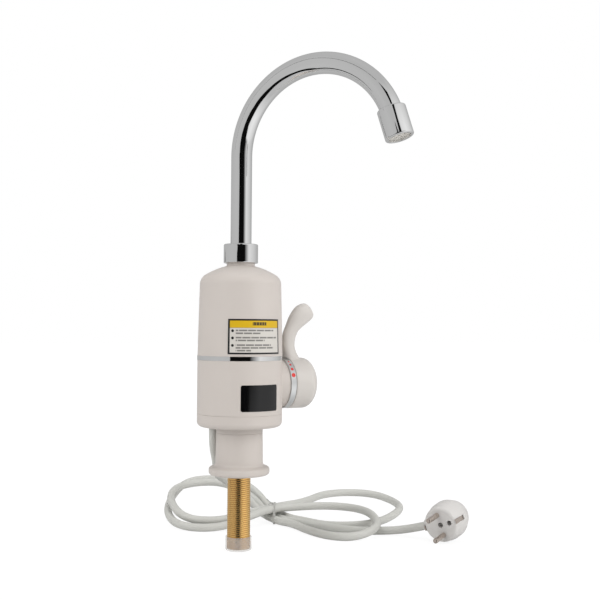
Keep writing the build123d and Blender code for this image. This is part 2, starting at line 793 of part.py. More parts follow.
# Knob and lever in one moulding, hollow behind, with a hub for the stem
dome_turns = [radians(90 * step / dome_steps) for step in range(dome_steps + 1)]
dome_points = [(knob_dome_start + knob_dome * sin(t), knob_r * cos(t)) for t in dome_turns]
with BuildPart() as knob_lever:
    with BuildSketch(Plane.XY):
        with BuildLine():
            Line((knob_start, 0), (knob_start, knob_r))
            Line((knob_start, knob_r), (knob_dome_start, knob_r))
            Spline(dome_points, tangents=[(1, 0), (0, -1)])
            Line((knob_end, 0), (knob_start, 0))
        make_face()
    revolve(axis=Axis.X)
    for x, height, half_thickness, half_width, lean in lever_sections:
        tilt = radians(lean)
        rise = (sin(tilt), 0, cos(tilt))
        place = (knob_start + x, 0, height)
        with BuildSketch(Plane(origin=place, x_dir=(cos(tilt), 0, -sin(tilt)), z_dir=rise)):
            Ellipse(half_thickness, half_width)
    loft()
    with BuildSketch(Plane.YZ.offset(stub_end)):
        Circle(ring_r + free_gap)
    extrude(amount=knob_start - stub_end, mode=Mode.SUBTRACT)
    with BuildSketch(Plane.YZ.offset(knob_start)):
        Circle(knob_hollow_r)
        Circle(knob_hub_r, mode=Mode.SUBTRACT)
    extrude(amount=knob_hollow_end - knob_start, mode=Mode.SUBTRACT)
    with BuildSketch(Plane.YZ.offset(knob_start - overrun)):
        Circle(stem_r + running_gap)
    extrude(amount=stem_end - knob_start + overrun + seat_gap, mode=Mode.SUBTRACT)
    with BuildSketch(Plane.XY.offset(-knob_r - overrun)):
        with Locations((grub_x, 0)):
            Circle(grub_r + running_gap)
    extrude(amount=knob_r + overrun, mode=Mode.SUBTRACT)
lever_piece = knob_lever.part.moved(Location((0, 0, valve_z)))
save(lever_piece, "knob_lever")

# Grub screw under the knob that grips the stem's flat
with BuildPart() as knob_grub_screw:
    with BuildSketch(Plane.XY.offset(valve_z - stem_r + running_gap)):
        with Locations((grub_x, 0)):
            Circle(grub_r)
    extrude(amount=-grub_length)
    with BuildSketch(Plane.XY.offset(valve_z - stem_r + running_gap - grub_length)):
        with Locations((grub_x, 0)):
            RegularPolygon(grub_r / 2, 6)
    extrude(amount=grub_r, mode=Mode.SUBTRACT)
save(knob_grub_screw.part, "knob_grub_screw")

# Flow switch: a chamber beside the valve whose float lifts when water runs
with BuildPart() as flow_switch_housing:
    with BuildSketch(Plane.XY.offset(flow_low)):
        with Locations((flow_x, 0)):
            Circle(flow_r)
    extrude(amount=shelf_z - flow_low)
    with BuildSketch(Plane.XY.offset(flow_low + float_seat)):
        with Locations((flow_x, 0)):
            Circle(flow_bore_r)
    extrude(amount=float_height + float_travel + free_gap, mode=Mode.SUBTRACT)
    with BuildSketch(Plane.XY.offset(flow_low + float_seat)):
        with Locations((flow_x, 0)):
            Circle(flow_bore_r - wall / 2)
    extrude(amount=shelf_z, mode=Mode.SUBTRACT)
    with BuildSketch(Plane.YZ.offset(flow_x)):
        with Locations((0, valve_z)):
            Circle(valve_water_r / 2)
    extrude(amount=flow_r + overrun, mode=Mode.SUBTRACT)
save(flow_switch_housing.part, "flow_switch_housing")

with BuildPart() as flow_float:
    with BuildSketch(Plane.XY.offset(flow_low + float_seat + running_gap)):
        with Locations((flow_x, 0)):
            Circle(flow_bore_r - running_gap)
    extrude(amount=float_height - running_gap)
    fillet(flow_float.faces().sort_by(Axis.Z)[-1].edges(), wall / 2)
save(flow_float.part, "flow_float")

# Tank base on the shelf, seal, steel tank with its outlet, element, cutout and screws
tank_floor = shelf_z + tank_base_thickness
flange_out = inner_r - tank_flange_gap
with BuildPart() as tank_base:
    with BuildSketch(Plane.XY.offset(shelf_z)):
        Circle(inner_r - seat_gap)
        with Locations((flow_x, 0)):
            Circle(flow_bore_r - wall / 2, mode=Mode.SUBTRACT)
        with Locations([polar(tank_screw_circle, a) for a in tank_screw_azimuths]):
            Circle(tank_screw_r, mode=Mode.SUBTRACT)
        with Locations((element_coil_r, 0), (0, -element_bend_r)):
            Circle(element_wire_r + seat_gap, mode=Mode.SUBTRACT)
    extrude(amount=tank_base_thickness)
    with BuildSketch(Plane.XZ):
        with Locations((tank_r, tank_floor)):
            Circle(seal_wire_r + seat_gap)
    revolve(axis=Axis.Z, mode=Mode.SUBTRACT)
save(tank_base.part, "tank_base")

with BuildPart() as tank_seal:
    with BuildSketch(Plane.XZ):
        with Locations((tank_r, tank_floor)):
            Circle(seal_wire_r)
        with Locations((tank_r, tank_floor + seal_wire_r)):
            Rectangle(4 * seal_wire_r, 2 * seal_wire_r, mode=Mode.SUBTRACT)
    revolve(axis=Axis.Z)
save(tank_seal.part, "tank_seal")

with BuildPart() as heating_tank:
    with BuildSketch(Plane.XZ):
        with BuildLine():
            Line((tank_r, tank_floor), (tank_r, tank_top - tank_dome))
            RadiusArc((tank_r, tank_top - tank_dome), (tank_r - tank_dome, tank_top), -tank_dome)
            Polyline(
                (tank_r - tank_dome, tank_top),
                (tank_outlet_r, tank_top),
                (tank_outlet_r, tank_outlet_top - seat_gap),
                (tank_outlet_r - tank_wall, tank_outlet_top - seat_gap),
                (tank_outlet_r - tank_wall, tank_top - tank_wall),
                (tank_r - tank_dome, tank_top - tank_wall),
            )
            RadiusArc(
                (tank_r - tank_dome, tank_top - tank_wall),
                (tank_r - tank_wall, tank_top - tank_dome),
                tank_dome - tank_wall,
            )
            Polyline(
                (tank_r - tank_wall, tank_top - tank_dome),
                (tank_r - tank_wall, tank_floor),
                (tank_r, tank_floor),
            )
        make_face()
    revolve(axis=Axis.Z)
    with BuildSketch(Plane.XY.offset(tank_floor)):
        Circle(flange_out)
        Circle(tank_r - tank_wall, mode=Mode.SUBTRACT)
        with Locations([polar(tank_screw_circle, a) for a in tank_screw_azimuths]):
            Circle(tank_screw_r + seat_gap, mode=Mode.SUBTRACT)
    extrude(amount=tank_flange_thickness)
save(heating_tank.part, "heating_tank")

with BuildPart() as tank_screws:
    for azimuth in tank_screw_azimuths:
        with BuildSketch(Plane.XY.offset(tank_floor + tank_flange_thickness)):
            with Locations(polar(tank_screw_circle, azimuth)):
                Circle(tank_screw_head_r)
        extrude(amount=tank_screw_head)
        with BuildSketch(Plane.XY.offset(shelf_z)):
            with Locations(polar(tank_screw_circle, azimuth)):
                Circle(tank_screw_r - running_gap)
        extrude(amount=tank_floor + tank_flange_thickness - shelf_z)
save(tank_screws.part, "tank_screws")

# Element: a coiled sheath whose two legs come down through the tank's base
element_low = tank_floor + element_foot_gap
coil_height = tank_top - element_top_gap - element_low
element_pitch = coil_height / element_turns
with BuildPart() as heating_element:
    for turn in range(2 * element_turns):
        side = 1 - 2 * (turn % 2)
        start = Vector(side * element_coil_r, 0, element_low + turn * element_pitch / 2)
        finish = Vector(-side * element_coil_r, 0, element_low + (turn + 1) * element_pitch / 2)
        middle = (start + finish) / 2 + Vector(0, side * element_coil_r, 0)
        with BuildLine() as half_turn:
            ThreePointArc(start, middle, finish)
        with BuildSketch(Plane(origin=start, z_dir=half_turn.line % 0)):
            Circle(element_wire_r)
        sweep(path=half_turn.line)
    coil_end = Vector(element_coil_r, 0, element_low + coil_height)
    across_middle = Vector(element_coil_r / 2, element_coil_r / 2, element_low + coil_height)
    centre_end = Vector(0, 0, element_low + coil_height)
    bend_end = centre_end - Vector(0, element_bend_r, element_bend_r)
    with BuildLine() as return_leg:
        ThreePointArc(coil_end, across_middle, centre_end)
        TangentArc(centre_end, bend_end, tangent=(0, -1, 0))
        Line(bend_end, (0, -element_bend_r, shelf_z))
    with BuildSketch(Plane(origin=coil_end, z_dir=(0, 1, 0))):
        Circle(element_wire_r)
    sweep(path=return_leg.wires()[0])
    with BuildSketch(Plane.XY.offset(shelf_z)):
        with Locations((element_coil_r, 0)):
            Circle(element_wire_r)
    extrude(amount=element_low - shelf_z)
save(heating_element.part, "heating_element")

with BuildPart() as thermal_cutout:
    outward = polar(1, cutout_azimuth)
    with BuildSketch(Plane(origin=outward * (tank_r - wall) + Vector(0, 0, cutout_z), z_dir=outward)):
        Circle(cutout_r)
    extrude(amount=cutout_depth + wall)
    with BuildSketch(Plane.XY.offset(cutout_z - cutout_r - overrun)):
        Circle(tank_r + seat_gap)
    extrude(amount=2 * cutout_r + 2 * overrun, mode=Mode.SUBTRACT)
save(thermal_cutout.part, "thermal_cutout")

# Control board with its power switch, terminal block and the cord's inner end
board_middle = (control_low + control_high) / 2
with BuildPart() as control_board:
    with BuildSketch(Plane.XZ.offset(-control_y)):
        with Locations((0, board_middle)):
            Rectangle(control_width, control_high - control_low)
    extrude(amount=-board_thickness)
    with BuildSketch(Plane.XZ.offset(-control_y)):
        with Locations((control_width / 2 - triac_size, control_high - triac_size)):
            Rectangle(triac_size, triac_size)
    extrude(amount=triac_depth)
save(control_board.part, "control_board")

terminal_low = control_low + seat_gap
with BuildPart() as terminal_block:
    with BuildSketch(Plane.XZ.offset(seat_gap - control_y)):
        with Locations((gland_place.X, terminal_low + terminal_height / 2)):
            Rectangle(terminal_width, terminal_height)
    extrude(amount=terminal_depth)
    with BuildSketch(Plane.XY.offset(terminal_low)):
        with Locations((gland_place.X, control_y - terminal_depth / 2)):
            with GridLocations(terminal_width / 3, 0, 3, 1):
                Circle(terminal_width / 9)
    extrude(amount=terminal_height / 2, mode=Mode.SUBTRACT)
save(terminal_block.part, "terminal_block")

with BuildPart() as cord_gland:
    with BuildSketch(Plane.XY.offset(cap_bottom - gland_drop)):
        with Locations(gland_place):
            Circle(gland_r)
    extrude(amount=gland_drop + wall + gland_rise)
    with BuildSketch(Plane.XY.offset(cap_bottom + wall)):
        with Locations(gland_place):
            Circle(gland_r + gland_flange)
    extrude(amount=gland_flange)
    with BuildSketch(Plane.XY.offset(cap_bottom - gland_drop)):
        with Locations(gland_place):
            Circle(cord_r + running_gap)
    extrude(amount=gland_drop + wall + gland_rise, mode=Mode.SUBTRACT)
save(cord_gland.part, "cord_gland")

inner_start = gland_place + Vector(0, 0, cap_bottom - gland_drop)
inner_end = Vector(gland_place.X, control_y - terminal_depth / 2, terminal_low - seat_gap)
with BuildPart() as inner_cable:
    with BuildLine() as inner_path:
        inner_turn = inner_start + Vector(0, 0, gland_drop + wall + 2 * gland_rise)
        inner_rise = Vector(inner_end.X, inner_end.Y, inner_end.Z - gland_rise)
        FilletPolyline(inner_start, inner_turn, inner_rise, inner_end, radius=gland_rise)
    with BuildSketch(Plane.XY.offset(inner_start.Z)):
        with Locations(gland_place):
            Circle(cord_r)
    sweep(path=inner_path.wires()[0])
save(inner_cable.part, "inner_cable")

# Screws up through the bottom cap into the pillars
with BuildPart() as base_screws:
    for azimuth in cap_screw_azimuths:
        with BuildSketch(Plane.XY.offset(cap_bottom)):
            with Locations(polar(cap_screw_circle, azimuth)):
                Circle(cap_screw_head_r)
                Rectangle(cap_screw_r, 2 * cap_screw_r, mode=Mode.SUBTRACT)
        extrude(amount=cap_screw_head / 2)
        with BuildSketch(Plane.XY.offset(cap_bottom + cap_screw_head / 2)):
            with Locations(polar(cap_screw_circle, azimuth)):
                Circle(cap_screw_head_r)
        extrude(amount=cap_screw_head / 2 - running_gap)
        with BuildSketch(Plane.XY.offset(cap_bottom + cap_screw_head / 2)):
            with Locations(polar(cap_screw_circle, azimuth)):
                Circle(cap_screw_r - running_gap)
        extrude(amount=cap_screw_length - cap_screw_head)
save(base_screws.part, "base_screws")

# Display pane, its board with the digit module, and the label on the upper housing
pane_out = body_r + window_proud
with BuildPart() as display_window:
    first_side = Plane(
        origin=(0, 0, 0),
        x_dir=polar(1, window_azimuth - window_half_angle),
        z_dir=polar(1, window_azimuth - window_half_angle - 90),
    )
    with BuildSketch(first_side):
        with Locations((pane_out - window_thickness / 2, (window_low + window_high) / 2)):
            Rectangle(window_thickness, window_high - window_low)
    revolve(axis=Axis.Z, revolution_arc=2 * window_half_angle)
save(display_window.part, "display_window")

board_front = sqrt((pane_out - window_thickness) ** 2 - (digit_width / 2) ** 2) - board_gap - digit_depth
window_middle = (window_low + window_high) / 2
with BuildPart() as display_board:
    outward = polar(1, window_azimuth)
    sideways = polar(1, window_azimuth + 90)
    face = Plane(origin=outward * board_front + Vector(0, 0, window_middle), x_dir=sideways, z_dir=outward)
    with BuildSketch(face):
        Rectangle(board_width, window_high - window_low - 2 * seat_gap)
    extrude(amount=-board_thickness)
    with BuildSketch(face):
        Rectangle(digit_width, digit_height)
    extrude(amount=digit_depth)
save(display_board.part, "display_board")


def taper_r(z):
    """Outer radius of the upper housing's straight flank at a height."""
    return body_r + (body_top_r - body_r) * (z - band_high) / (shoulder_start - band_high)


with BuildPart() as info_sticker:
    first_side = Plane(
        origin=(0, 0, 0),
        x_dir=polar(1, sticker_azimuth - sticker_half_angle),
        z_dir=polar(1, sticker_azimuth - sticker_half_angle - 90),
    )
    with BuildSketch(first_side):
        with BuildLine():
            Polyline(
                (taper_r(sticker_low) + running_gap, sticker_low),
                (taper_r(sticker_low) + sticker_thickness, sticker_low),
                (taper_r(sticker_high) + sticker_thickness, sticker_high),
                (taper_r(sticker_high) + running_gap, sticker_high),
                close=True,
            )
        make_face()
    revolve(axis=Axis.Z, revolution_arc=2 * sticker_half_angle)
save(info_sticker.part, "info_sticker")

# Plug, made lying along its own axis and then put in its place on the table
along = polar(1, -knob_yaw)
across = polar(1, 90 - knob_yaw)
tie_foot = along * tie_right + across * tie_behind + Vector(0, 0, table_z)


def lay_point(place):
    """Point from (right, behind, height over the table) of the tie."""
    return tie_foot + along * place[0] + across * place[1] + Vector(0, 0, place[2])


def lay_way(heading, slope):
    """Unit direction from a heading in the tie's frame and a slope, both in degrees."""
    flat = along * cos(radians(heading)) + across * sin(radians(heading))
    return flat * cos(radians(slope)) + Vector(0, 0, sin(radians(slope)))


pin_way = polar(cos(radians(plug_pitch)), plug_yaw, sin(radians(plug_pitch)))
plug_side = polar(1, plug_yaw + 90)
plug_up = polar(-sin(radians(plug_pitch)), plug_yaw, cos(radians(plug_pitch)))
pin_line = plug_side * sin(radians(plug_roll)) - plug_up * cos(radians(plug_roll))
plug_face = lay_point((plug_right, -plug_ahead, plug_height))
plug_place = Plane(origin=plug_face, x_dir=pin_line, z_dir=pin_way)
cord_out = pin_line.cross(pin_way)
boot_end = plug_face + cord_out * (plug_r + boot_length) - pin_way * boot_depth
with BuildPart() as plug_body:
    with BuildSketch(Plane.XY):
        Circle(plug_r)
    extrude(amount=plug_back_length - plug_depth)
    fillet(plug_body.faces().sort_by(Axis.Z)[-1].edges(), plug_round / 2)
    with BuildSketch(Plane.XY.offset(plug_back_length - plug_depth)):
        Circle(plug_r)
    with BuildSketch(Plane.XY.offset(-plug_depth)):
        Circle(plug_back_r)
    loft()
    fillet(plug_body.faces().sort_by(Axis.Z)[0].edges(), plug_round)
    with BuildSketch(Plane.XZ.offset(plug_back_r)):
        with Locations((0, -boot_depth)):
            Circle(boot_r)
    extrude(amount=plug_r + boot_length - plug_back_r)
    with BuildSketch(Plane.XY):
        Circle(plug_screw_r)
    extrude(amount=-boot_depth / 2, mode=Mode.SUBTRACT)
    with BuildSketch(Plane.XY):
        with Locations((0, pin_pitch / 2)):
            Circle(earth_hole_r)
    extrude(amount=-earth_hole_depth, mode=Mode.SUBTRACT)
    with BuildSketch(Plane.XY):
        with GridLocations(pin_pitch, 0, 2, 1):
            Circle(pin_root_r + running_gap)
    extrude(amount=-pin_root - seat_gap, mode=Mode.SUBTRACT)
    with BuildSketch(Plane.XY):
        with GridLocations(0, 2 * plug_r, 1, 2):
            Rectangle(clip_width + 2 * seat_gap, 4 * clip_thickness)
    extrude(amount=-clip_length - seat_gap, mode=Mode.SUBTRACT)
plug_piece = plug_body.part.moved(plug_place.location)
save(plug_piece, "plug_body")

with BuildPart() as plug_pins:
    with BuildSketch(Plane.XY):
        with GridLocations(pin_pitch, 0, 2, 1):
            Circle(pin_r)
    extrude(amount=pin_length)
    fillet(plug_pins.faces().sort_by(Axis.Z)[-2:].edges(), pin_r / 2)
    with BuildSketch(Plane.XY.offset(-pin_root)):
        with GridLocations(pin_pitch, 0, 2, 1):
            Circle(pin_root_r)
    extrude(amount=pin_root)
pins_piece = plug_pins.part.moved(plug_place.location)
save(pins_piece, "plug_pins")

with BuildPart() as plug_earth_clips:
    clip_middle = plug_r - 2 * clip_thickness + clip_thickness / 2 + seat_gap
    with BuildSketch(Plane.XY.offset(-clip_length)):
        with GridLocations(0, 2 * clip_middle, 1, 2):
            Rectangle(clip_width, clip_thickness)
    extrude(amount=clip_length)
clips_piece = plug_earth_clips.part.moved(plug_place.location)
save(clips_piece, "plug_earth_clips")


# Cord: lead down from the gland, tied coil, tail to the plug
def route_radii(points):
    """Largest calm bend radius at each inner point of a route."""
    radii = []
    for before, point, after in zip(points, points[1:], points[2:]):
        run_in = point - before
        run_out = after - point
        shorter = min(run_in.length, run_out.length)
        turn = acos(run_in.dot(run_out) / (run_in.length * run_out.length))
        radii.append(bend_run_share * shorter / tan(turn / 2))
    return radii


def straight_tube(points, name):
    """Sweep the cord along straight runs with tangent arcs and save it."""
    radii = route_radii(points)
    print(name, "bend radii", [round(r, 1) for r in radii])
    with BuildPart() as tube:
        with BuildLine() as route:
            FilletPolyline(*points, radius=radii)
        with BuildSketch(Plane(origin=points[0], z_dir=points[1] - points[0])):
            Circle(cord_r)
        sweep(path=route.wires()[0])
    print(name, "length", round(route.wires()[0].length, 1))
    save(tube.part, name)


lead_points = [inner_start] + [lay_point(place) for place in lead_route]
lead_points[1] = Vector(inner_start.X, inner_start.Y, lead_points[1].Z)
straight_tube(lead_points, "cord_lead")

hank_start = lead_points[-1]
start_way = (lead_points[-1] - lead_points[-2]).normalized()
low_way = lay_way(-waist_angle, 0)
high_way = lay_way(180 + waist_angle, 0)


def waist(lane, low, before=0):
    """Two places of a straight stretch through the tie, on the lower or the upper layer."""
    way = low_way if low else high_way
    after = waist_low_run if low else waist_high_run
    before = before or after
    height = low_layer if low else high_layer
    turn = 90 - waist_angle if low else waist_angle - 90
    middle = lay_point((0, 0, height)) + lay_way(turn, 0) * waist_step * lane
    return [(middle - way * before, way), (middle + way * after, way)]


def loop(places):
    """Places and directions of one loop of the tied cord."""
    return [(lay_point(place), lay_way(*turn)) for place, turn in places]


tail_start = lay_point((0, 0, low_layer)) + low_way * hank_end
hank_route = [(hank_start, start_way), (hank_start + start_way * 2 * cord_r, start_way)]
hank_route += loop(lead_fall) + waist(-1, True, waist_first_run) + loop(b_loop) + waist(0.5, False)
hank_route += loop(x_loop) + waist(1, True) + loop(a_loop) + waist(-0.5, False)
hank_route += loop(y_loop) + waist(0, True) + [(tail_start, low_way)]


def tangent_pair(start, start_turn, end, end_turn):
    """Two tangent arcs from one place and direction to another, or one straight line."""
    gap = end - start
    side_turn = start_turn.cross(gap) + end_turn.cross(gap)
    if side_turn.length + (start_turn - end_turn).length < straight_share:
        Line(start, end)
        return []
    turns = start_turn + end_turn
    split = 2 * (1 - start_turn.dot(end_turn))
    reach = (sqrt(gap.dot(turns) ** 2 + split * gap.dot(gap)) - gap.dot(turns)) / split
    near = start + start_turn * reach
    far = end - end_turn * reach
    joint = (near + far) / 2
    first = TangentArc(start, joint, tangent=start_turn)
    second = TangentArc(joint, end, tangent=far - near)
    return [first.radius, second.radius]


with BuildPart() as cord_hank:
    bends = []
    with BuildLine() as hank_path:
        for (start, start_turn), (end, end_turn) in zip(hank_route, hank_route[1:]):
            bends += tangent_pair(start, start_turn, end, end_turn)
    with BuildSketch(Plane(origin=hank_start, z_dir=start_way)):
        Circle(cord_r)
    sweep(path=hank_path.wires()[0])
print("cord_hank bend radii", [round(r, 1) for r in bends])
hank_line = hank_path.wires()[0]
print("cord_hank length", round(hank_line.length, 1))
steps = int(hank_line.length / measure_step)
places = [tuple(hank_line @ (step / steps)) for step in range(steps + 1)]
skip = int(6 * cord_r / measure_step)
nearest = min(dist(one, other) for index, one in enumerate(places) for other in places[index + skip :])
print("cord_hank least gap to itself", round(nearest - 2 * cord_r, 2))
save(cord_hank.part, "cord_hank")

tail_turn = lay_point((0, 0, low_layer)) + low_way * tail_reach
tail_points = [tail_start, tail_turn] + [lay_point(place) for place in tail_route]
tail_points += [boot_end + cord_out * tail_end_run, boot_end]
straight_tube(tail_points, "cord_tail")

# Wire tie: a flat band pulled round the crossing, with a twisted knot and two ends
with BuildPart() as cord_tie:
    for grow, cut in ((tie_thickness, Mode.ADD), (0, Mode.SUBTRACT)):
        ring_outer = cord_r + tie_slack + grow
        with BuildSketch(Plane(origin=tie_foot - along * (tie_width / 2), x_dir=across, z_dir=along)):
            for side in (-1, 1):
                with Locations((side * tie_low_reach, low_layer), (side * tie_high_reach, high_layer)):
                    Circle(ring_outer)
            make_hull()
        extrude(amount=tie_width, mode=cut)
    knot_middle = tie_foot + across * knot_place
    knot_middle += Vector(0, 0, high_layer + cord_r + tie_slack + tie_thickness + knot_r / 2)
    with Locations(knot_middle):
        Sphere(knot_r)
    for lean in (-knot_tail_lean, knot_tail_lean):
        rise = across * sin(radians(lean)) + Vector(0, 0, cos(radians(lean)))
        with BuildSketch(Plane(origin=knot_middle, z_dir=rise)):
            Circle(knot_tail_r)
        extrude(amount=knot_tail)
save(cord_tie.part, "cord_tie")
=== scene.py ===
"""Electric instant water heater tap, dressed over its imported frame.

The row's frame is kept in metres: +Z up the body, -Y the front with the display, +X along the
lever's axis, z = 0 at the base flange's underside.
"""

import json
import logging
from dataclasses import dataclass
from enum import Enum
from math import acos, cos, pi, radians, sin, tan

import bmesh
import bpy
import numpy as np
from mathutils import Matrix, Vector

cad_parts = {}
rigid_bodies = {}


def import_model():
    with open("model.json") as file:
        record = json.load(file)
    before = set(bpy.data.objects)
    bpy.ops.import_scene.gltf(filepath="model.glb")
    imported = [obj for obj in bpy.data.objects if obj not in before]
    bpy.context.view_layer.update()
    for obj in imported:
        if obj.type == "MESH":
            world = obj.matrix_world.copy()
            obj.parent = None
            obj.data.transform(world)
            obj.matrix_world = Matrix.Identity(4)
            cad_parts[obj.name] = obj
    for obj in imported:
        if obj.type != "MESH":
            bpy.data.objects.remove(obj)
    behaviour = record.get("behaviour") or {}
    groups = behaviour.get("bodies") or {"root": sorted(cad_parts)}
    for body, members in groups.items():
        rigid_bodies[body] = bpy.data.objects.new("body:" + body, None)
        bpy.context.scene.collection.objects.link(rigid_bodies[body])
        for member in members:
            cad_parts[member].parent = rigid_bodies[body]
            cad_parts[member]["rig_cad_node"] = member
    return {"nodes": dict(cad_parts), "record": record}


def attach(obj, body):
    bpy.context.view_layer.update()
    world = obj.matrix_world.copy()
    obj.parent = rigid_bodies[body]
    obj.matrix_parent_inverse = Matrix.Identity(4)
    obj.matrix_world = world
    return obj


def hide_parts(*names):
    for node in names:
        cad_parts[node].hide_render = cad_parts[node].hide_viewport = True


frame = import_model()

LOG = logging.getLogger("tap")
MM = 0.001
TABLE_Z = -67.7
VIEW_TURN = 28.0
UP = np.array([0.0, 0.0, 1.0])
Colour = tuple[float, float, float]


def plan(right: float, behind: float) -> np.ndarray:
    """Plan direction or place, in the camera's right and forward directions, as a row vector."""
    turn = radians(VIEW_TURN)
    return right * np.array([cos(turn), -sin(turn), 0.0]) + behind * np.array([sin(turn), cos(turn), 0.0])


# Shader values and finishes


class Wire:
    """One number or colour in a material, on which Python's operators add Math nodes."""

    def __init__(self, nodes: "Nodes", socket: bpy.types.NodeSocket) -> None:
        """Keep the node tree that the socket belongs to."""
        self.nodes = nodes
        self.socket = socket

    def _math(self, operation: str, *values: object) -> "Wire":
        """Add one Math node.

        Args:
            operation: the Math node's operation.
            values: its inputs, as wires or numbers.

        Returns:
            The node's result.
        """
        return self.nodes.node("ShaderNodeMath", {"operation": operation}, dict(enumerate(values)))

    def __add__(self, other: object) -> "Wire":
        """Sum."""
        return self._math("ADD", self, other)

    def __sub__(self, other: object) -> "Wire":
        """Difference."""
        return self._math("SUBTRACT", self, other)

    def __rsub__(self, other: object) -> "Wire":
        """Difference with the wire on the right."""
        return self._math("SUBTRACT", other, self)

    def __mul__(self, other: object) -> "Wire":
        """Product."""
        return self._math("MULTIPLY", self, other)

    def __gt__(self, other: object) -> "Wire":
        """1 where the wire is larger."""
        return self._math("GREATER_THAN", self, other)

    def __lt__(self, other: object) -> "Wire":
        """1 where the wire is smaller."""
        return self._math("LESS_THAN", self, other)

    def __mod__(self, other: object) -> "Wire":
        """Floored remainder."""
        return self._math("FLOORED_MODULO", self, other)

    def __pow__(self, other: object) -> "Wire":
        """Power."""
        return self._math("POWER", self, other)

    def __abs__(self) -> "Wire":
        """Absolute value."""
        return self._math("ABSOLUTE", self)

    def most(self, other: object) -> "Wire":
        """The larger of two values."""
        return self._math("MAXIMUM", self, other)

    def within(self, low: float, high: float) -> "Wire":
        """1 between two limits."""
        return (self > low) * (self < high)

    __radd__ = __add__
    __rmul__ = __mul__


class Nodes:
    """A node tree, with one method that adds any node."""

    def __init__(self, tree: bpy.types.NodeTree) -> None:
        """Start from an empty tree."""
        self.tree = tree
        tree.nodes.clear()

    def node(self, kind: str, settings: dict, inputs: dict, output: object = 0) -> "Wire | None":
        """Add one node.

        Args:
            kind: the node's type.
            settings: its properties.
            inputs: values or wires, by socket name or number.
            output: name or number of the socket that is returned.

        Returns:
            The chosen output, or nothing for a node without outputs.
        """
        made = self.tree.nodes.new(kind)
        for key, value in settings.items():
            setattr(made, key, value)
        for key, value in inputs.items():
            self.feed(made.inputs[key], value)
        return Wire(self, made.outputs[output]) if made.outputs else None

    def feed(self, socket: bpy.types.NodeSocket, value: object) -> None:
        """Link a wire to a socket, or set the socket's own value.

        Args:
            socket: the input that is fed.
            value: a wire, a number or a colour.
        """
        if isinstance(value, Wire):
            self.tree.links.new(value.socket, socket)
        elif isinstance(value, tuple) and len(value) == 3 and socket.type == "RGBA":
            socket.default_value = (*value, 1.0)
        else:
            socket.default_value = value

    def place(self) -> Wire:
        """Object coordinates."""
        return self.node("ShaderNodeTexCoord", {}, {}, "Object")

    def attribute(self, name: str) -> Wire:
        """A number stored on the mesh."""
        return self.node("ShaderNodeAttribute", {"attribute_name": name}, {}, "Fac")

    def seen_or_not(self, seen: Wire, unseen: Wire) -> Wire:
        """Mix two shaders by what kind of ray meets them.

        Args:
            seen: what the camera, mirrors and glass see.
            unseen: what lights and shades the rest.

        Returns:
            The mixed shader.
        """
        rays = ("Is Camera Ray", "Is Glossy Ray", "Is Transmission Ray")
        camera, mirror, glass = (self.node("ShaderNodeLightPath", {}, {}, ray) for ray in rays)
        return self.node("ShaderNodeMixShader", {}, {0: camera.most(mirror).most(glass), 1: unseen, 2: seen})


def empty_material(name: str) -> bpy.types.Material:
    """New material with its node tree switched on."""
    material = bpy.data.materials.new(name)
    material.use_nodes = True
    return material


class Shader(Nodes):
    """A material on one Principled shader."""

    def __init__(self, name: str) -> None:
        """Start a material with nothing but its Principled shader.

        Args:
            name: the material's name.
        """
        self.material = empty_material(name)
        super().__init__(self.material.node_tree)
        self.bsdf = self.tree.nodes.new("ShaderNodeBsdfPrincipled")
        output = self.tree.nodes.new("ShaderNodeOutputMaterial")
        self.tree.links.new(self.bsdf.outputs[0], output.inputs[0])

    def axis(self, letter: str) -> Wire:
        """One object coordinate in metres."""
        return self.node("ShaderNodeSeparateXYZ", {}, {0: self.place()}, letter)

    def round_body(self) -> Wire:
        """Angle about the body's axis in radians."""
        return self.node("ShaderNodeMath", {"operation": "ARCTAN2"}, {0: self.axis("Y"), 1: self.axis("X")})

    def noise(self, scale: float, detail: float = 3.0, rough: float = 0.5) -> Wire:
        """Noise from 0 to 1 on object coordinates."""
        inputs = {"Vector": self.place(), "Scale": scale, "Detail": detail, "Roughness": rough}
        return self.node("ShaderNodeTexNoise", {}, inputs, 0)

    def mix(self, low: object, high: object, share: object) -> Wire:
        """Blend of two colours."""
        settings = {"data_type": "RGBA", "clamp_factor": True}
        return self.node("ShaderNodeMix", settings, {0: share, 6: low, 7: high}, 2)

    def bump(self, height: Wire, depth: float, strength: float = 1.0) -> Wire:
        """Surface normal from a height that runs from 0 to 1 over a depth in metres."""
        return self.node("ShaderNodeBump", {}, {"Height": height, "Distance": depth, "Strength": strength})

    def set(self, **values: object) -> "Shader":
        """Set the Principled shader's sockets, named with underscores for spaces."""
        for key, value in values.items():
            self.feed(self.bsdf.inputs[key.replace("_", " ")], value)
        return self


@dataclass(frozen=True)
class Moulding:
    """Moulded plastic with faint mottling and a fine skin."""

    name: str
    colour: Colour
    roughness: float = 0.32
    mottle: float = 0.035
    skin: float = 0.00002
    skin_scale: float = 900.0

    def make(self) -> bpy.types.Material:
        """Build the material.

        Returns:
            The material.
        """
        shader = Shader(self.name)
        cloud = shader.noise(22.0, 4.0)
        low = tuple(c * (1 - self.mottle) for c in self.colour)
        high = tuple(min(1.0, c * (1 + self.mottle)) for c in self.colour)
        smear = shader.noise(60.0, 5.0, 0.6)
        shader.set(
            Base_Color=shader.mix(low, high, cloud),
            Roughness=self.roughness - 0.06 + smear * 0.12,
            Normal=shader.bump(shader.noise(self.skin_scale, 2.0), self.skin),
        )
        return shader.material


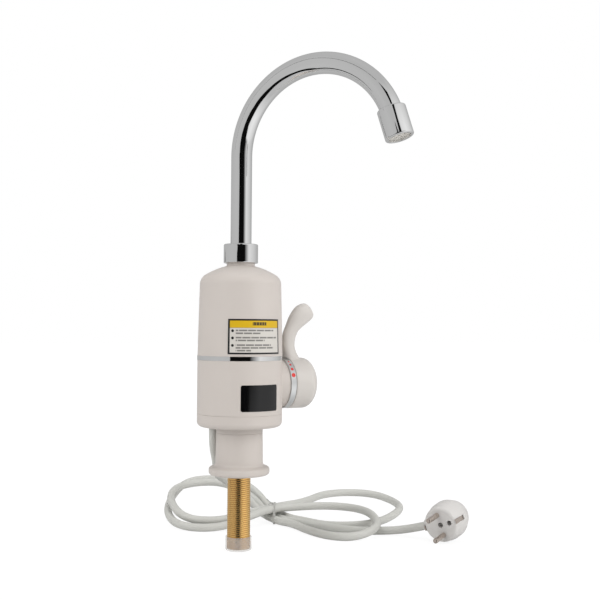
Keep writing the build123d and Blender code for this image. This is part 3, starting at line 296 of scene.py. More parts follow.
@dataclass(frozen=True)
class Plating:
    """Polished or satin metal with faint smears."""

    name: str
    colour: Colour
    roughness: float = 0.06
    smear: float = 0.05
    grain: float = 0.0

    def make(self) -> bpy.types.Material:
        """Build the material.

        Returns:
            The material.
        """
        shader = Shader(self.name)
        cloud = shader.noise(45.0, 6.0, 0.65)
        low = tuple(c * 0.94 for c in self.colour)
        shader.set(
            Base_Color=shader.mix(low, self.colour, cloud),
            Metallic=1.0,
            Roughness=(cloud - 0.5) * self.smear + self.roughness,
            Normal=shader.bump(shader.noise(1400.0 if self.grain else 30.0, 3.0), self.grain or 0.00001),
        )
        return shader.material


@dataclass(frozen=True)
class Brass:
    """Turned brass, with painted shade darkening the thread's grooves."""

    name: str
    colour: Colour
    # root: painted shade colour put into the thread's grooves
    root: Colour
    crest: float = 0.01046
    depth: float = 0.0005
    innermost: float = 0.0095

    def make(self) -> bpy.types.Material:
        """Build the material.

        Returns:
            The material.
        """
        shader = Shader(self.name)
        cloud = shader.noise(120.0, 5.0, 0.6)
        across, deep = shader.axis("X"), shader.axis("Y")
        radius = (across * across + deep * deep) ** 0.5
        # Painted shade: the share of the root colour grows as the radius falls below the crest into the
        # grooves.
        painted_groove_shade = ((self.crest - radius) * (0.85 / self.depth)).most(0.0) * (radius > self.innermost)
        tone = shader.mix(self.colour, tuple(c * 0.9 for c in self.colour), cloud)
        shader.set(
            Base_Color=shader.mix(tone, self.root, painted_groove_shade),
            Metallic=1.0,
            Roughness=cloud * 0.1 + 0.2,
            Normal=shader.bump(shader.noise(700.0, 2.0), 0.00001),
        )
        return shader.material


@dataclass(frozen=True)
class Milky:
    """Soft see-through plastic, milky, with its cover varying in patches."""

    name: str
    colour: Colour
    cover: float = 0.32

    def make(self) -> bpy.types.Material:
        """Build the material.

        Returns:
            The material.
        """
        shader = Shader(self.name)
        cloud = shader.noise(140.0, 4.0)
        shader.set(
            Base_Color=shader.mix(self.colour, tuple(c * 0.9 for c in self.colour), cloud),
            Roughness=cloud * 0.12 + 0.3,
            Alpha=cloud * 0.16 + (self.cover - 0.08),
            Normal=shader.bump(shader.noise(300.0, 3.0), 0.00004),
        )
        return shader.material


@dataclass(frozen=True)
class Pane:
    """Dark see-through plastic with a polished face and the housing's colour outside its rounded corners."""

    name: str
    colour: Colour
    rim: Colour
    azimuth: float = -85.0
    half_width: float = 18.95
    low: float = 59.5
    high: float = 82.5
    corner: float = 1.6
    wall: float = 38.5

    def make(self) -> bpy.types.Material:
        """Build the material.

        Returns:
            The material.
        """
        shader = Shader(self.name)
        dust = shader.noise(400.0, 6.0, 0.7)
        arc = abs((shader.round_body() - radians(self.azimuth)) * self.wall)
        rise = abs(shader.axis("Z") * 1000.0 - (self.low + self.high) / 2)
        past = (arc - (self.half_width - self.corner)).most(0.0)
        over = (rise - ((self.high - self.low) / 2 - self.corner)).most(0.0)
        outside = (past * past + over * over) > self.corner**2
        glass = shader.mix(self.colour, tuple(c * 1.5 + 0.001 for c in self.colour), dust)
        shader.set(
            Base_Color=shader.mix(glass, self.rim, outside),
            Roughness=dust * 0.08 + 0.1,
            Normal=shader.bump(shader.noise(14.0, 2.0), 0.00004),
        )
        return shader.material


# Label rows in millimetres over its lower edge: each bar's height and its right end, and the dots' heights
BAR_ROWS = ((20.8, 18.0), (18.3, 3.0), (14.5, 22.0), (12.1, 7.3), (8.0, 14.5), (5.6, 17.5), (3.2, -6.0))
DOT_ROWS = (20.5, 14.2, 7.7)


@dataclass(frozen=True)
class Label:
    """Printed film: dark frame, yellow header and plain bars."""

    name: str
    paper: Colour
    ink: Colour
    band: Colour
    azimuth: float = -91.5
    half_width: float = 26.0
    low: float = 109.6
    high: float = 140.4
    border: float = 1.45
    wall: float = 38.2
    header: float = 7.6

    def make(self) -> bpy.types.Material:
        """Build the material on the arc length round the body and the height.

        Returns:
            The material.
        """
        shader = Shader(self.name)
        arc = (shader.round_body() - radians(self.azimuth)) * self.wall
        rise = shader.axis("Z") * 1000.0
        frame_ink = (abs(arc) > self.half_width - self.border).most(rise < self.low + self.border)
        frame_ink = frame_ink.most(rise > self.high - self.border)
        band_low = self.high - self.header
        band = rise > band_low
        rule = rise.within(band_low - 0.35, band_low) * 0.75
        head_bar = rise.within(self.high - 5.6, self.high - 2.7) * arc.within(-4.3, 9.3)
        head_gaps = ((arc + 60.0) % 2.7) < 2.4
        bars = self._bars(shader, arc, rise)
        ink = frame_ink.most(rule).most(head_bar * head_gaps * 0.9).most(bars)
        fade = shader.noise(300.0, 3.0)
        paper = shader.mix(self.paper, tuple(c * 0.95 for c in self.paper), fade)
        ground = shader.mix(paper, self.band, band)
        shader.set(
            Base_Color=shader.mix(ground, self.ink, ink),
            Roughness=fade * 0.1 + 0.28,
            Normal=shader.bump(shader.noise(500.0, 2.0), 0.00001),
        )
        return shader.material

    def _bars(self, shader: Shader, arc: Wire, rise: Wire) -> Wire:
        """Rows of plain bars with a dot before each pair.

        Args:
            shader: the label's shader.
            arc: millimetres round the body from the label's middle.
            rise: height in millimetres.

        Returns:
            1 where the ink is.
        """
        ink = None
        for height, end in BAR_ROWS:
            row = rise.within(self.low + height - 0.7, self.low + height + 0.7) * arc.within(-19.3, end)
            gaps = ((arc + 60.0 + height * 1.7) % 7.9) < 7.2
            ink = row * gaps if ink is None else ink.most(row * gaps)
        ink = ink * 0.68
        for height in DOT_ROWS:
            drop = rise - (self.low + height)
            dot = ((arc + 22.1) * (arc + 22.1) + drop * drop) < 1.5
            ink = ink.most(dot)
        return ink


class Finishes(Enum):
    """The finish of each material slot."""

    HOUSING = Moulding("housing_plastic", (0.55, 0.505, 0.47), 0.34)
    KNOB = Moulding("knob_plastic", (0.57, 0.54, 0.51), 0.24, 0.025)
    CHROME = Plating("bright_chrome", (0.85, 0.852, 0.85), 0.05, 0.04)
    SATIN = Plating("satin_silver", (0.80, 0.81, 0.81), 0.3, 0.1, 0.00002)
    # The brass's second colour is painted shade for the thread's grooves.
    BRASS = Brass("brass", (0.98, 0.63, 0.24), (0.66, 0.38, 0.12))
    STEEL = Plating("steel", (0.55, 0.55, 0.55), 0.3, 0.1, 0.00002)
    STAINLESS = Plating("stainless", (0.62, 0.62, 0.60), 0.28, 0.1, 0.00002)
    RUBBER = Moulding("black_rubber", (0.02, 0.02, 0.02), 0.6, 0.2, 0.00004)
    PANE = Pane("clear_black", (0.0015, 0.0015, 0.0018), (0.55, 0.505, 0.47))
    BOARD = Moulding("board_green", (0.04, 0.16, 0.07), 0.4, 0.2)
    TERMINAL = Moulding("terminal_white", (0.66, 0.66, 0.62), 0.45)
    VALVE = Moulding("valve_plastic", (0.6, 0.58, 0.54), 0.5)
    NATURAL = Milky("natural_plastic", (0.68, 0.63, 0.58))
    LABEL = Label("label_film", (0.60, 0.575, 0.535), (0.010, 0.010, 0.011), (0.62, 0.39, 0.004))
    RED = Moulding("red_mark", (0.62, 0.035, 0.03), 0.35, 0.1)
    BLUE = Moulding("blue_mark", (0.02, 0.06, 0.42), 0.35, 0.1)
    SHEATH = Moulding("cord_sheath", (0.53, 0.53, 0.50), 0.42, 0.04, 0.00004, 500.0)
    TIE = Moulding("tie_wire", (0.46, 0.46, 0.44), 0.4)
    PLUG = Moulding("plug_plastic", (0.57, 0.555, 0.54), 0.4, 0.03, 0.00005, 700.0)
    PIN = Plating("plated_pin", (0.66, 0.58, 0.52), 0.25, 0.1, 0.00001)


MATERIALS = {finish.value.name: finish.value.make() for finish in Finishes}


def dress(piece: bpy.types.Object, slot: str) -> None:
    """Give a piece its slot's material.

    Args:
        piece: the piece.
        slot: the name of its material slot.
    """
    piece.data.materials.clear()
    piece.data.materials.append(MATERIALS[slot])


# Surfaces as whole arrays


def face_outwards(mesh: bpy.types.Mesh) -> None:
    """Merge a closed mesh's doubled points and turn its faces outwards.

    Args:
        mesh: the mesh, which is changed in place.
    """
    work = bmesh.new()
    work.from_mesh(mesh)
    bmesh.ops.remove_doubles(work, verts=work.verts, dist=0.001 * MM)
    bmesh.ops.recalc_face_normals(work, faces=work.faces)
    work.to_mesh(mesh)
    work.free()


def grid_piece(name: str, points: np.ndarray, close_u: bool, close_v: bool) -> bpy.types.Object:
    """Make a smooth mesh from a grid of points in millimetres.

    Args:
        name: the piece's name.
        points: array of rows by columns by 3.
        close_u: whether the last row joins the first.
        close_v: whether the last column joins the first.

    Returns:
        The new object, with its place in its mesh.
    """
    rows, columns = points.shape[:2]
    index = np.arange(rows * columns).reshape(rows, columns)
    below = np.roll(index, -1, axis=0) if close_u else index[1:]
    here = index if close_u else index[:-1]
    if close_v:
        faces = np.stack([here, np.roll(here, -1, 1), np.roll(below, -1, 1), below], axis=-1)
    else:
        faces = np.stack([here[:, :-1], here[:, 1:], below[:, 1:], below[:, :-1]], axis=-1)
    mesh = bpy.data.meshes.new(name)
    mesh.from_pydata((points.reshape(-1, 3) * MM).tolist(), [], faces.reshape(-1, 4).tolist())
    mesh.polygons.foreach_set("use_smooth", [True] * len(mesh.polygons))
    if close_v:
        face_outwards(mesh)
    mesh.update()
    piece = bpy.data.objects.new(name, mesh)
    bpy.context.scene.collection.objects.link(piece)
    return piece


def lathe(profile: np.ndarray, base: np.ndarray, axis: np.ndarray, steps: int = 96) -> np.ndarray:
    """Grid of a turned shape: point(s, t) = base + axis * h(s) + r(s) * (cos t * e1 + sin t * e2).

    Args:
        profile: rows of radius and height in millimetres.
        base: where height is zero.
        axis: unit vector of the turning axis.
        steps: divisions round the axis.

    Returns:
        The grid of points.
    """
    helper = np.array([1.0, 0.0, 0.0]) if abs(axis[0]) < 0.9 else np.array([0.0, 1.0, 0.0])
    first = np.cross(axis, helper)
    first /= np.linalg.norm(first)
    second = np.cross(axis, first)
    turn = np.linspace(0, 2 * pi, steps, endpoint=False)
    ring = np.outer(np.cos(turn), first) + np.outer(np.sin(turn), second)
    return base + profile[:, 1, None, None] * axis + profile[:, 0, None, None] * ring[None]


MOST_OF_SIDE = 0.48
SHARP_FROM = 38.0


def rounded(corners: list, radii: list, arc_steps: int = 6) -> np.ndarray:
    """Profile through corners with each inner corner turned by an arc.

    Args:
        corners: points of radius and height in millimetres.
        radii: arc radius at each inner corner.
        arc_steps: points on each arc.

    Returns:
        Rows of radius and height.
    """
    points = [np.array(c, float) for c in corners]
    rows = [points[0]]
    for before, corner, after, radius in zip(points, points[1:], points[2:], radii):
        back = (before - corner) / np.linalg.norm(before - corner)
        onward = (after - corner) / np.linalg.norm(after - corner)
        half = acos(np.clip(back @ onward, -1, 1)) / 2
        shorter = min(np.linalg.norm(before - corner), np.linalg.norm(after - corner))
        reach = min(radius / tan(half), MOST_OF_SIDE * shorter)
        share = np.linspace(0, 1, arc_steps)[:, None]
        start, end = corner + back * reach, corner + onward * reach
        curve = (1 - share) ** 2 * start + 2 * share * (1 - share) * corner + share**2 * end
        rows.extend(curve)
    rows.append(points[-1])
    return np.array(rows)


def carved(name: str, rough: bpy.types.Object, joined: list, tools: list) -> bpy.types.Object:
    """Apply a rough piece's modifiers, add the joined pieces, take away the tools, and keep the result.

    Args:
        name: the finished piece's name.
        rough: the piece that the others are added to and cut from.
        joined: pieces that become part of it.
        tools: pieces whose space is cut out.

    Returns:
        The finished object, smooth except at its sharp edges.
    """
    for kind, others in (("UNION", joined), ("DIFFERENCE", tools)):
        for other in others:
            step = rough.modifiers.new(other.name, "BOOLEAN")
            step.operation = kind
            step.object = other
    graph = bpy.context.evaluated_depsgraph_get()
    mesh = bpy.data.meshes.new_from_object(rough.evaluated_get(graph))
    for spare in (rough, *joined, *tools):
        bpy.data.objects.remove(spare)
    mesh.name = name
    face_outwards(mesh)
    mesh.polygons.foreach_set("use_smooth", [True] * len(mesh.polygons))
    mesh.set_sharp_from_angle(angle=radians(SHARP_FROM))
    piece = bpy.data.objects.new(name, mesh)
    bpy.context.scene.collection.objects.link(piece)
    LOG.info("made %s, %d faces", name, len(mesh.polygons))
    return piece


def frames_along(path: np.ndarray) -> tuple[np.ndarray, np.ndarray]:
    """Unit vectors across a path lying in one plane, for tubes.

    Args:
        path: rows of points.

    Returns:
        Two arrays of unit vectors square to the path.
    """
    way = np.gradient(path, axis=0)
    way /= np.linalg.norm(way, axis=1)[:, None]
    normal = np.cross(path[len(path) // 2] - path[0], path[-1] - path[0])
    normal /= np.linalg.norm(normal)
    return np.broadcast_to(normal, path.shape), np.cross(way, normal)


# The parts of the tap


@dataclass
class Spout:
    """Bent chrome tube with its nut and nozzle collar."""

    radius: float = 9.55
    bore: float = 7.5
    foot: float = 180.0
    arc_centre: float = 288.0
    arc_radius: float = 77.0
    arc_angle: float = 162.0
    tail: float = 12.0
    azimuth: float = -57.0
    nut_radius: float = 15.6
    nut_low: float = 191.2
    nut_top: float = 208.5
    nut_bore: float = 12.5
    lip_bore: float = 9.9
    lip: float = 1.8
    collar_radius: float = 12.5
    collar_start: float = -6.5
    collar_length: float = 26.5
    collar_bore: float = 9.95
    mouth: float = 9.7

    def path(self) -> np.ndarray:
        """Centreline: straight riser, arch and short straight tail, in one upright plane.

        Returns:
            Rows of points in millimetres.
        """
        out = np.array([cos(radians(self.azimuth)), sin(radians(self.azimuth)), 0.0])
        rise = np.linspace(self.foot, self.arc_centre, 24, endpoint=False)[:, None] * UP
        turn = np.radians(np.linspace(0, self.arc_angle, 90))[:, None]
        centre = UP * self.arc_centre + out * self.arc_radius
        arch = centre - out * self.arc_radius * np.cos(turn) + UP * self.arc_radius * np.sin(turn)
        last = radians(self.arc_angle)
        way = out * sin(last) + UP * cos(last)
        end = arch[-1] + way * np.linspace(1.5, self.tail, 8)[:, None]
        return np.vstack([rise, arch, end])

    def tube(self) -> bpy.types.Object:
        """Tube: point(s, t) = path(s) + r * (cos t * across(s) + sin t * normal), closed over its wall.

        Returns:
            The tube.
        """
        path = self.path()
        normal, across = frames_along(path)
        turn = np.linspace(0, 2 * pi, 72, endpoint=False)[None, :, None]
        ring = np.cos(turn) * across[:, None] + np.sin(turn) * normal[:, None]
        outer = path[:, None] + self.radius * ring
        inner = (path[:, None] + self.bore * ring)[::-1]
        piece = grid_piece("spout_bend", np.vstack([outer, inner]), True, True)
        dress(piece, "bright_chrome")
        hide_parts("spout_tube")
        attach(piece, "spout")
        return piece

    def nut(self) -> bpy.types.Object:
        """Turned nut with rounded shoulders and its lip over the tube.

        Returns:
            The nut.
        """
        low, top, bore, under_lip = self.nut_low, self.nut_top, self.nut_bore, self.nut_top - self.lip
        outside = [(bore, low + 1), (bore, low), (self.nut_radius, low), (self.nut_radius, top)]
        inside = [(self.lip_bore, top), (self.lip_bore, under_lip), (bore, under_lip), (bore, low + 1)]
        profile = rounded(outside + inside, [0.2, 0.9, 1.3, 0.35, 0.2, 0.2])
        piece = grid_piece("spout_nut_turned", lathe(profile, np.zeros(3), UP, 120), False, True)
        dress(piece, "bright_chrome")
        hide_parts("spout_nut")
        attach(piece, "tap")
        return piece

    def collar(self) -> bpy.types.Object:
        """Turned nozzle collar over the tube's end.

        Returns:
            The collar.
        """
        path = self.path()
        way = path[-1] - path[-2]
        way /= np.linalg.norm(way)
        base = path[-1] - way * self.tail
        low, high, r = self.collar_start, self.collar_start + self.collar_length, self.collar_radius
        bore, mouth = self.collar_bore, self.mouth
        outside = [(bore, low + 0.6), (bore, low), (r, low), (r, high), (mouth, high), (mouth, high - 1.6)]
        inside = [(10.0, high - 8.0), (bore, low + 0.6)]
        profile = rounded(outside + inside, [0.2, 1.6, 1.6, 0.4, 0.1, 0.1])
        piece = grid_piece("nozzle_collar_turned", lathe(profile, base, way, 120), False, True)
        dress(piece, "bright_chrome")
        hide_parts("nozzle_collar")
        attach(piece, "spout")
        return piece

    def build(self) -> None:
        """Make the spout's pieces."""
        for piece in (self.tube(), self.nut(), self.collar()):
            LOG.info("made %s", piece.name)


@dataclass
class Inlet:
    """Brass shank with its cut helical thread."""

    crest: float = 10.46
    root: float = 10.0
    steepness: float = 4.4
    run_out: float = 1.2
    pitch: float = 1.814
    low: float = -66.0
    high: float = -1.0
    plain: float = 10.2
    plain_low: float = -0.9
    plain_top: float = 52.0
    chamfer: float = 0.4
    bore: float = 7.5
    steps: int = 72
    rows: int = 430

    def build(self) -> None:
        """Thread: radius(h, t) = crest - depth * wave((h - pitch * t / 2 pi) / pitch), a flat-topped wave."""
        turn = np.linspace(0, 2 * pi, self.steps, endpoint=False)[None]
        height = np.linspace(self.low, self.high, self.rows)[:, None]
        phase = ((height - self.low) / self.pitch - turn / (2 * pi)) % 1.0
        wave = np.clip(1 - np.abs(phase - 0.5) * self.steepness, 0.0, 1.0)
        fade = np.clip((height - self.low) / self.run_out, 0, 1)
        fade = fade * np.clip((self.high - height) / self.run_out, 0, 1)
        radius = self.crest - (self.crest - self.root) * wave * fade
        radius = np.minimum(radius, self.root + np.clip(height - self.low, 0, 1) * self.run_out)
        flank = np.stack([radius * np.cos(turn), radius * np.sin(turn), height + 0 * turn], axis=-1)
        plain, top, cut = self.plain, self.plain_top, self.chamfer
        outside = [(plain, self.plain_low), (plain, top - cut), (plain - cut, top)]
        inside = [(self.bore, top), (self.bore, self.low), (self.root, self.low)]
        wide, high = np.array(outside + inside).T[:, :, None]
        rest = np.stack([wide * np.cos(turn), wide * np.sin(turn), high + 0 * turn], axis=-1)
        piece = grid_piece("inlet_thread", np.vstack([flank, rest]), True, True)
        dress(piece, "brass")
        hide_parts("inlet_shank")
        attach(piece, "tap")
        LOG.info("made %s", piece.name)


# Behind and height of each of the cord's turns where the tie holds them
STRANDS_AT_TIE = ((-9.6, 5.0), (-5.9, 14.7), (18.6, 7.2), (5.9, 14.4), (4.0, 5.4))

# Mains cord's route in millimetres from the foot of the tie: right, behind, height over the table
CORD_ROUTE = (
    (-54.2, -113.7, 110.2), (-54.2, -113.7, 92), (-52.5, -98, 77), (-54, -70, 62), (-56, -34, 53.9),
    (-57.5, -14.6, 50.5), (-50.9, 5.3, 41.5), (-32.5, 14, 26.6), (-14.4, 9, 7.6), (3.3, -14.2, 4.2),
    (17.9, -27.8, 4.7), (35.5, -61.4, 3.9), (55.5, -85.5, 3.9), (79, -89, 3.9), (102, -73, 9.8),
    (99.5, -40, 15.8), (86.5, 3, 14.4), (54.9, 14, 15.2), (12.2, 5.1, 14.4), (-6.4, -11.6, 14.9),
    (-21.1, -24.8, 12), (-51, -51.2, 3.9), (-92, -48, 4), (-110.5, -9.5, 10), (-110.4, 36.5, 20.8),
    (-97.9, 74.3, 31.1), (-63.7, 83, 32.2), (-35.7, 69.4, 30), (-17, 47.5, 20), (-5, 24.5, 7.4),
    (15.5, -1, 4.7), (28.9, -14.3, 4.7), (56.2, -38.5, 3.9), (102.9, -36.5, 6), (132.5, 12.1, 11),
    (131.3, 61.8, 10.9), (105.4, 92.6, 15.7), (55.9, 87.3, 16.2), (29.2, 33.5, 14.4), (6.4, 11.6, 14.9),
    (-26.3, -17.8, 12.8), (-53, -43, 9), (-88.5, -37.3, 9.6), (-107.5, -7.5, 22), (-108.1, 32.2, 29),
    (-89, 59.5, 31), (-59.6, 63, 31), (-37.6, 50.2, 24.2), (-21.5, 33, 18), (-9, 16, 6.2), (9.3, -8.3, 4.5),
    (17.8, -16.1, 4.7), (37.2, -33.5, 4.7), (73, -56, 3.9), (101, -60, 3.9), (130, -64.9, 6.5),
    (147.1, -77.1, 13.2),
)


@dataclass
class Cord:
    """Mains cord: lead from the gland, tied coil and tail to the plug, on one curve."""

    radius: float = 3.9
    length: float = 1821.0
    tie_right: float = 29.3
    tie_behind: float = 126.4
    strand: float = 0.55
    strand_gap: float = 0.35
    knot: tuple[float, float] = (-5.0, 19.6)
    knot_heading: float = -150.0
    twists: float = 2.2
    twisted: float = 8.0
    opens_at: float = 0.62
    flare: float = 7.0
    tie_steps: int = 96
    wire_sides: int = 10

    def to_row(self, points: np.ndarray) -> np.ndarray:
        """Turn points from the tie's frame to the row's frame, in millimetres."""
        foot = plan(self.tie_right, self.tie_behind) + np.array([0, 0, TABLE_Z])
        turn = np.array([plan(1, 0), plan(0, 1), [0, 0, 1.0]])
        return foot + points @ turn

    def sheath(self) -> bpy.types.Object:
        """One NURBS curve with the route's points as its control points, replacing the cord's solids.

        Returns:
            The curve.
        """
        points = self.to_row(np.array(CORD_ROUTE)) * MM
        curve = bpy.data.curves.new("mains_cord", "CURVE")
        curve.dimensions = "3D"
        curve.bevel_depth = self.radius * MM
        curve.bevel_resolution = 6
        curve.resolution_u = 24
        curve.use_fill_caps = True
        spline = curve.splines.new("NURBS")
        spline.points.add(len(points) - 1)
        spline.points.foreach_set("co", np.hstack([points, np.ones((len(points), 1))]).ravel())
        spline.order_u = 3
        spline.use_endpoint_u = True
        piece = bpy.data.objects.new("mains_cord", curve)
        bpy.context.scene.collection.objects.link(piece)
        curve.materials.append(MATERIALS["cord_sheath"])
        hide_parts("cord_lead", "cord_hank", "cord_tail")
        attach(piece, "tap")
        return piece

    def tie(self) -> bpy.types.Object:
        """Wire tie: two strands round the waist of the coil, twisted together into two short ends.

        Each strand follows the bundle's outline, way(t) * hull(t) + turned way(t) * hull'(t), where
        hull(t) is how far the cord's turns reach that way, and then a helix, point(s) = knot + out * s +
        ring(s).

        Returns:
            The tie as one mesh.
        """
        reach = self.radius + self.strand_gap + self.strand
        turn = np.linspace(0, 2 * pi, self.tie_steps, endpoint=False)
        corners = np.array(STRANDS_AT_TIE)
        ways = np.stack([np.cos(turn), np.sin(turn)], axis=-1)
        hull = (ways[:, None] * corners[None]).sum(axis=2).max(axis=1) + reach
        slope = (np.roll(hull, -1) - np.roll(hull, 1)) / (turn[2] - turn[0])
        turned = np.stack([-np.sin(turn), np.cos(turn)], axis=-1)
        outline = hull[:, None] * ways + slope[:, None] * turned
        pieces = []
        for lane in (-1, 1):
            above = np.maximum(outline[:, 1], self.strand)
            beside = np.full(self.tie_steps, lane * self.strand * 1.1)
            loop = np.stack([beside, outline[:, 0], above], axis=-1)
            pieces.append(self.wire(loop, True))
            pieces.append(self.wire(self.twist(lane), False))
        points, faces, start = [], [], 0
        for cloud, quads in pieces:
            points.append(cloud)
            faces.append(quads + start)
            start += len(cloud)
        mesh = bpy.data.meshes.new("wire_tie")
        mesh.from_pydata((self.to_row(np.vstack(points)) * MM).tolist(), [], np.vstack(faces).tolist())
        mesh.polygons.foreach_set("use_smooth", [True] * len(mesh.polygons))
        face_outwards(mesh)
        piece = bpy.data.objects.new("wire_tie", mesh)
        bpy.context.scene.collection.objects.link(piece)
        dress(piece, "tie_wire")
        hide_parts("cord_tie")
        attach(piece, "tap")
        return piece

    def twist(self, lane: int) -> np.ndarray:
        """One strand's twisted stretch on top of the coil, opening into a bent end.

        Args:
            lane: 1 or -1, one for each strand.

        Returns:
            Rows of points in the tie's frame.
        """
        share = np.linspace(0, 1, 60)
        shut = share < self.opens_at
        spin = 2 * pi * self.twists * share + (0 if lane > 0 else pi)
        spin = np.where(shut, spin, spin[36])
        spread = self.strand + np.where(shut, 0.0, (share - self.opens_at) * self.flare)
        along = share * self.twisted
        heading = radians(self.knot_heading)
        out = np.array([cos(heading), sin(heading), 0.35])
        side = np.array([-sin(heading), cos(heading), 0.0])
        start = np.array([0.0, *self.knot])
        ring = np.cos(spin)[:, None] * side + np.sin(spin)[:, None] * UP
        return start + along[:, None] * out + spread[:, None] * ring

    def wire(self, path: np.ndarray, closed: bool) -> tuple[np.ndarray, np.ndarray]:
        """Round wire along a path: point(s, t) = path(s) + r * (cos t * first + sin t * second).

        Args:
            path: rows of points in the tie's frame.
            closed: whether the last row joins the first.

        Returns:
            The points and the four-sided faces.
        """
        around = np.roll(path, -1, axis=0) - np.roll(path, 1, axis=0)
        way = around if closed else np.gradient(path, axis=0)
        way /= np.linalg.norm(way, axis=1)[:, None]
        first = np.cross(way, np.array([0.83, 0.37, 0.42]))
        first /= np.linalg.norm(first, axis=1)[:, None]
        second = np.cross(way, first)
        turn = np.linspace(0, 2 * pi, self.wire_sides, endpoint=False)[None, :, None]
        radius = np.full(len(path), self.strand)
        if not closed:
            path = np.vstack([path[:1], path, path[-1:]])
            first, second = (np.vstack([f[:1], f, f[-1:]]) for f in (first, second))
            radius = np.r_[0.0, radius, 0.0]
        ring = np.cos(turn) * first[:, None] + np.sin(turn) * second[:, None]
        cloud = path[:, None] + radius[:, None, None] * ring
        index = np.arange(cloud.shape[0] * self.wire_sides).reshape(-1, self.wire_sides)
        below = np.roll(index, -1, axis=0) if closed else index[1:]
        here = index if closed else index[:-1]
        quads = np.stack([here, below, np.roll(below, -1, 1), np.roll(here, -1, 1)], axis=-1)
        return cloud.reshape(-1, 3), quads.reshape(-1, 4)

    def build(self) -> None:
        piece, tie = self.sheath(), self.tie()
        tuple(self.to_row(np.array(CORD_ROUTE[:1]))[0] * MM)
        LOG.info("made %s and %s", piece.name, tie.name)


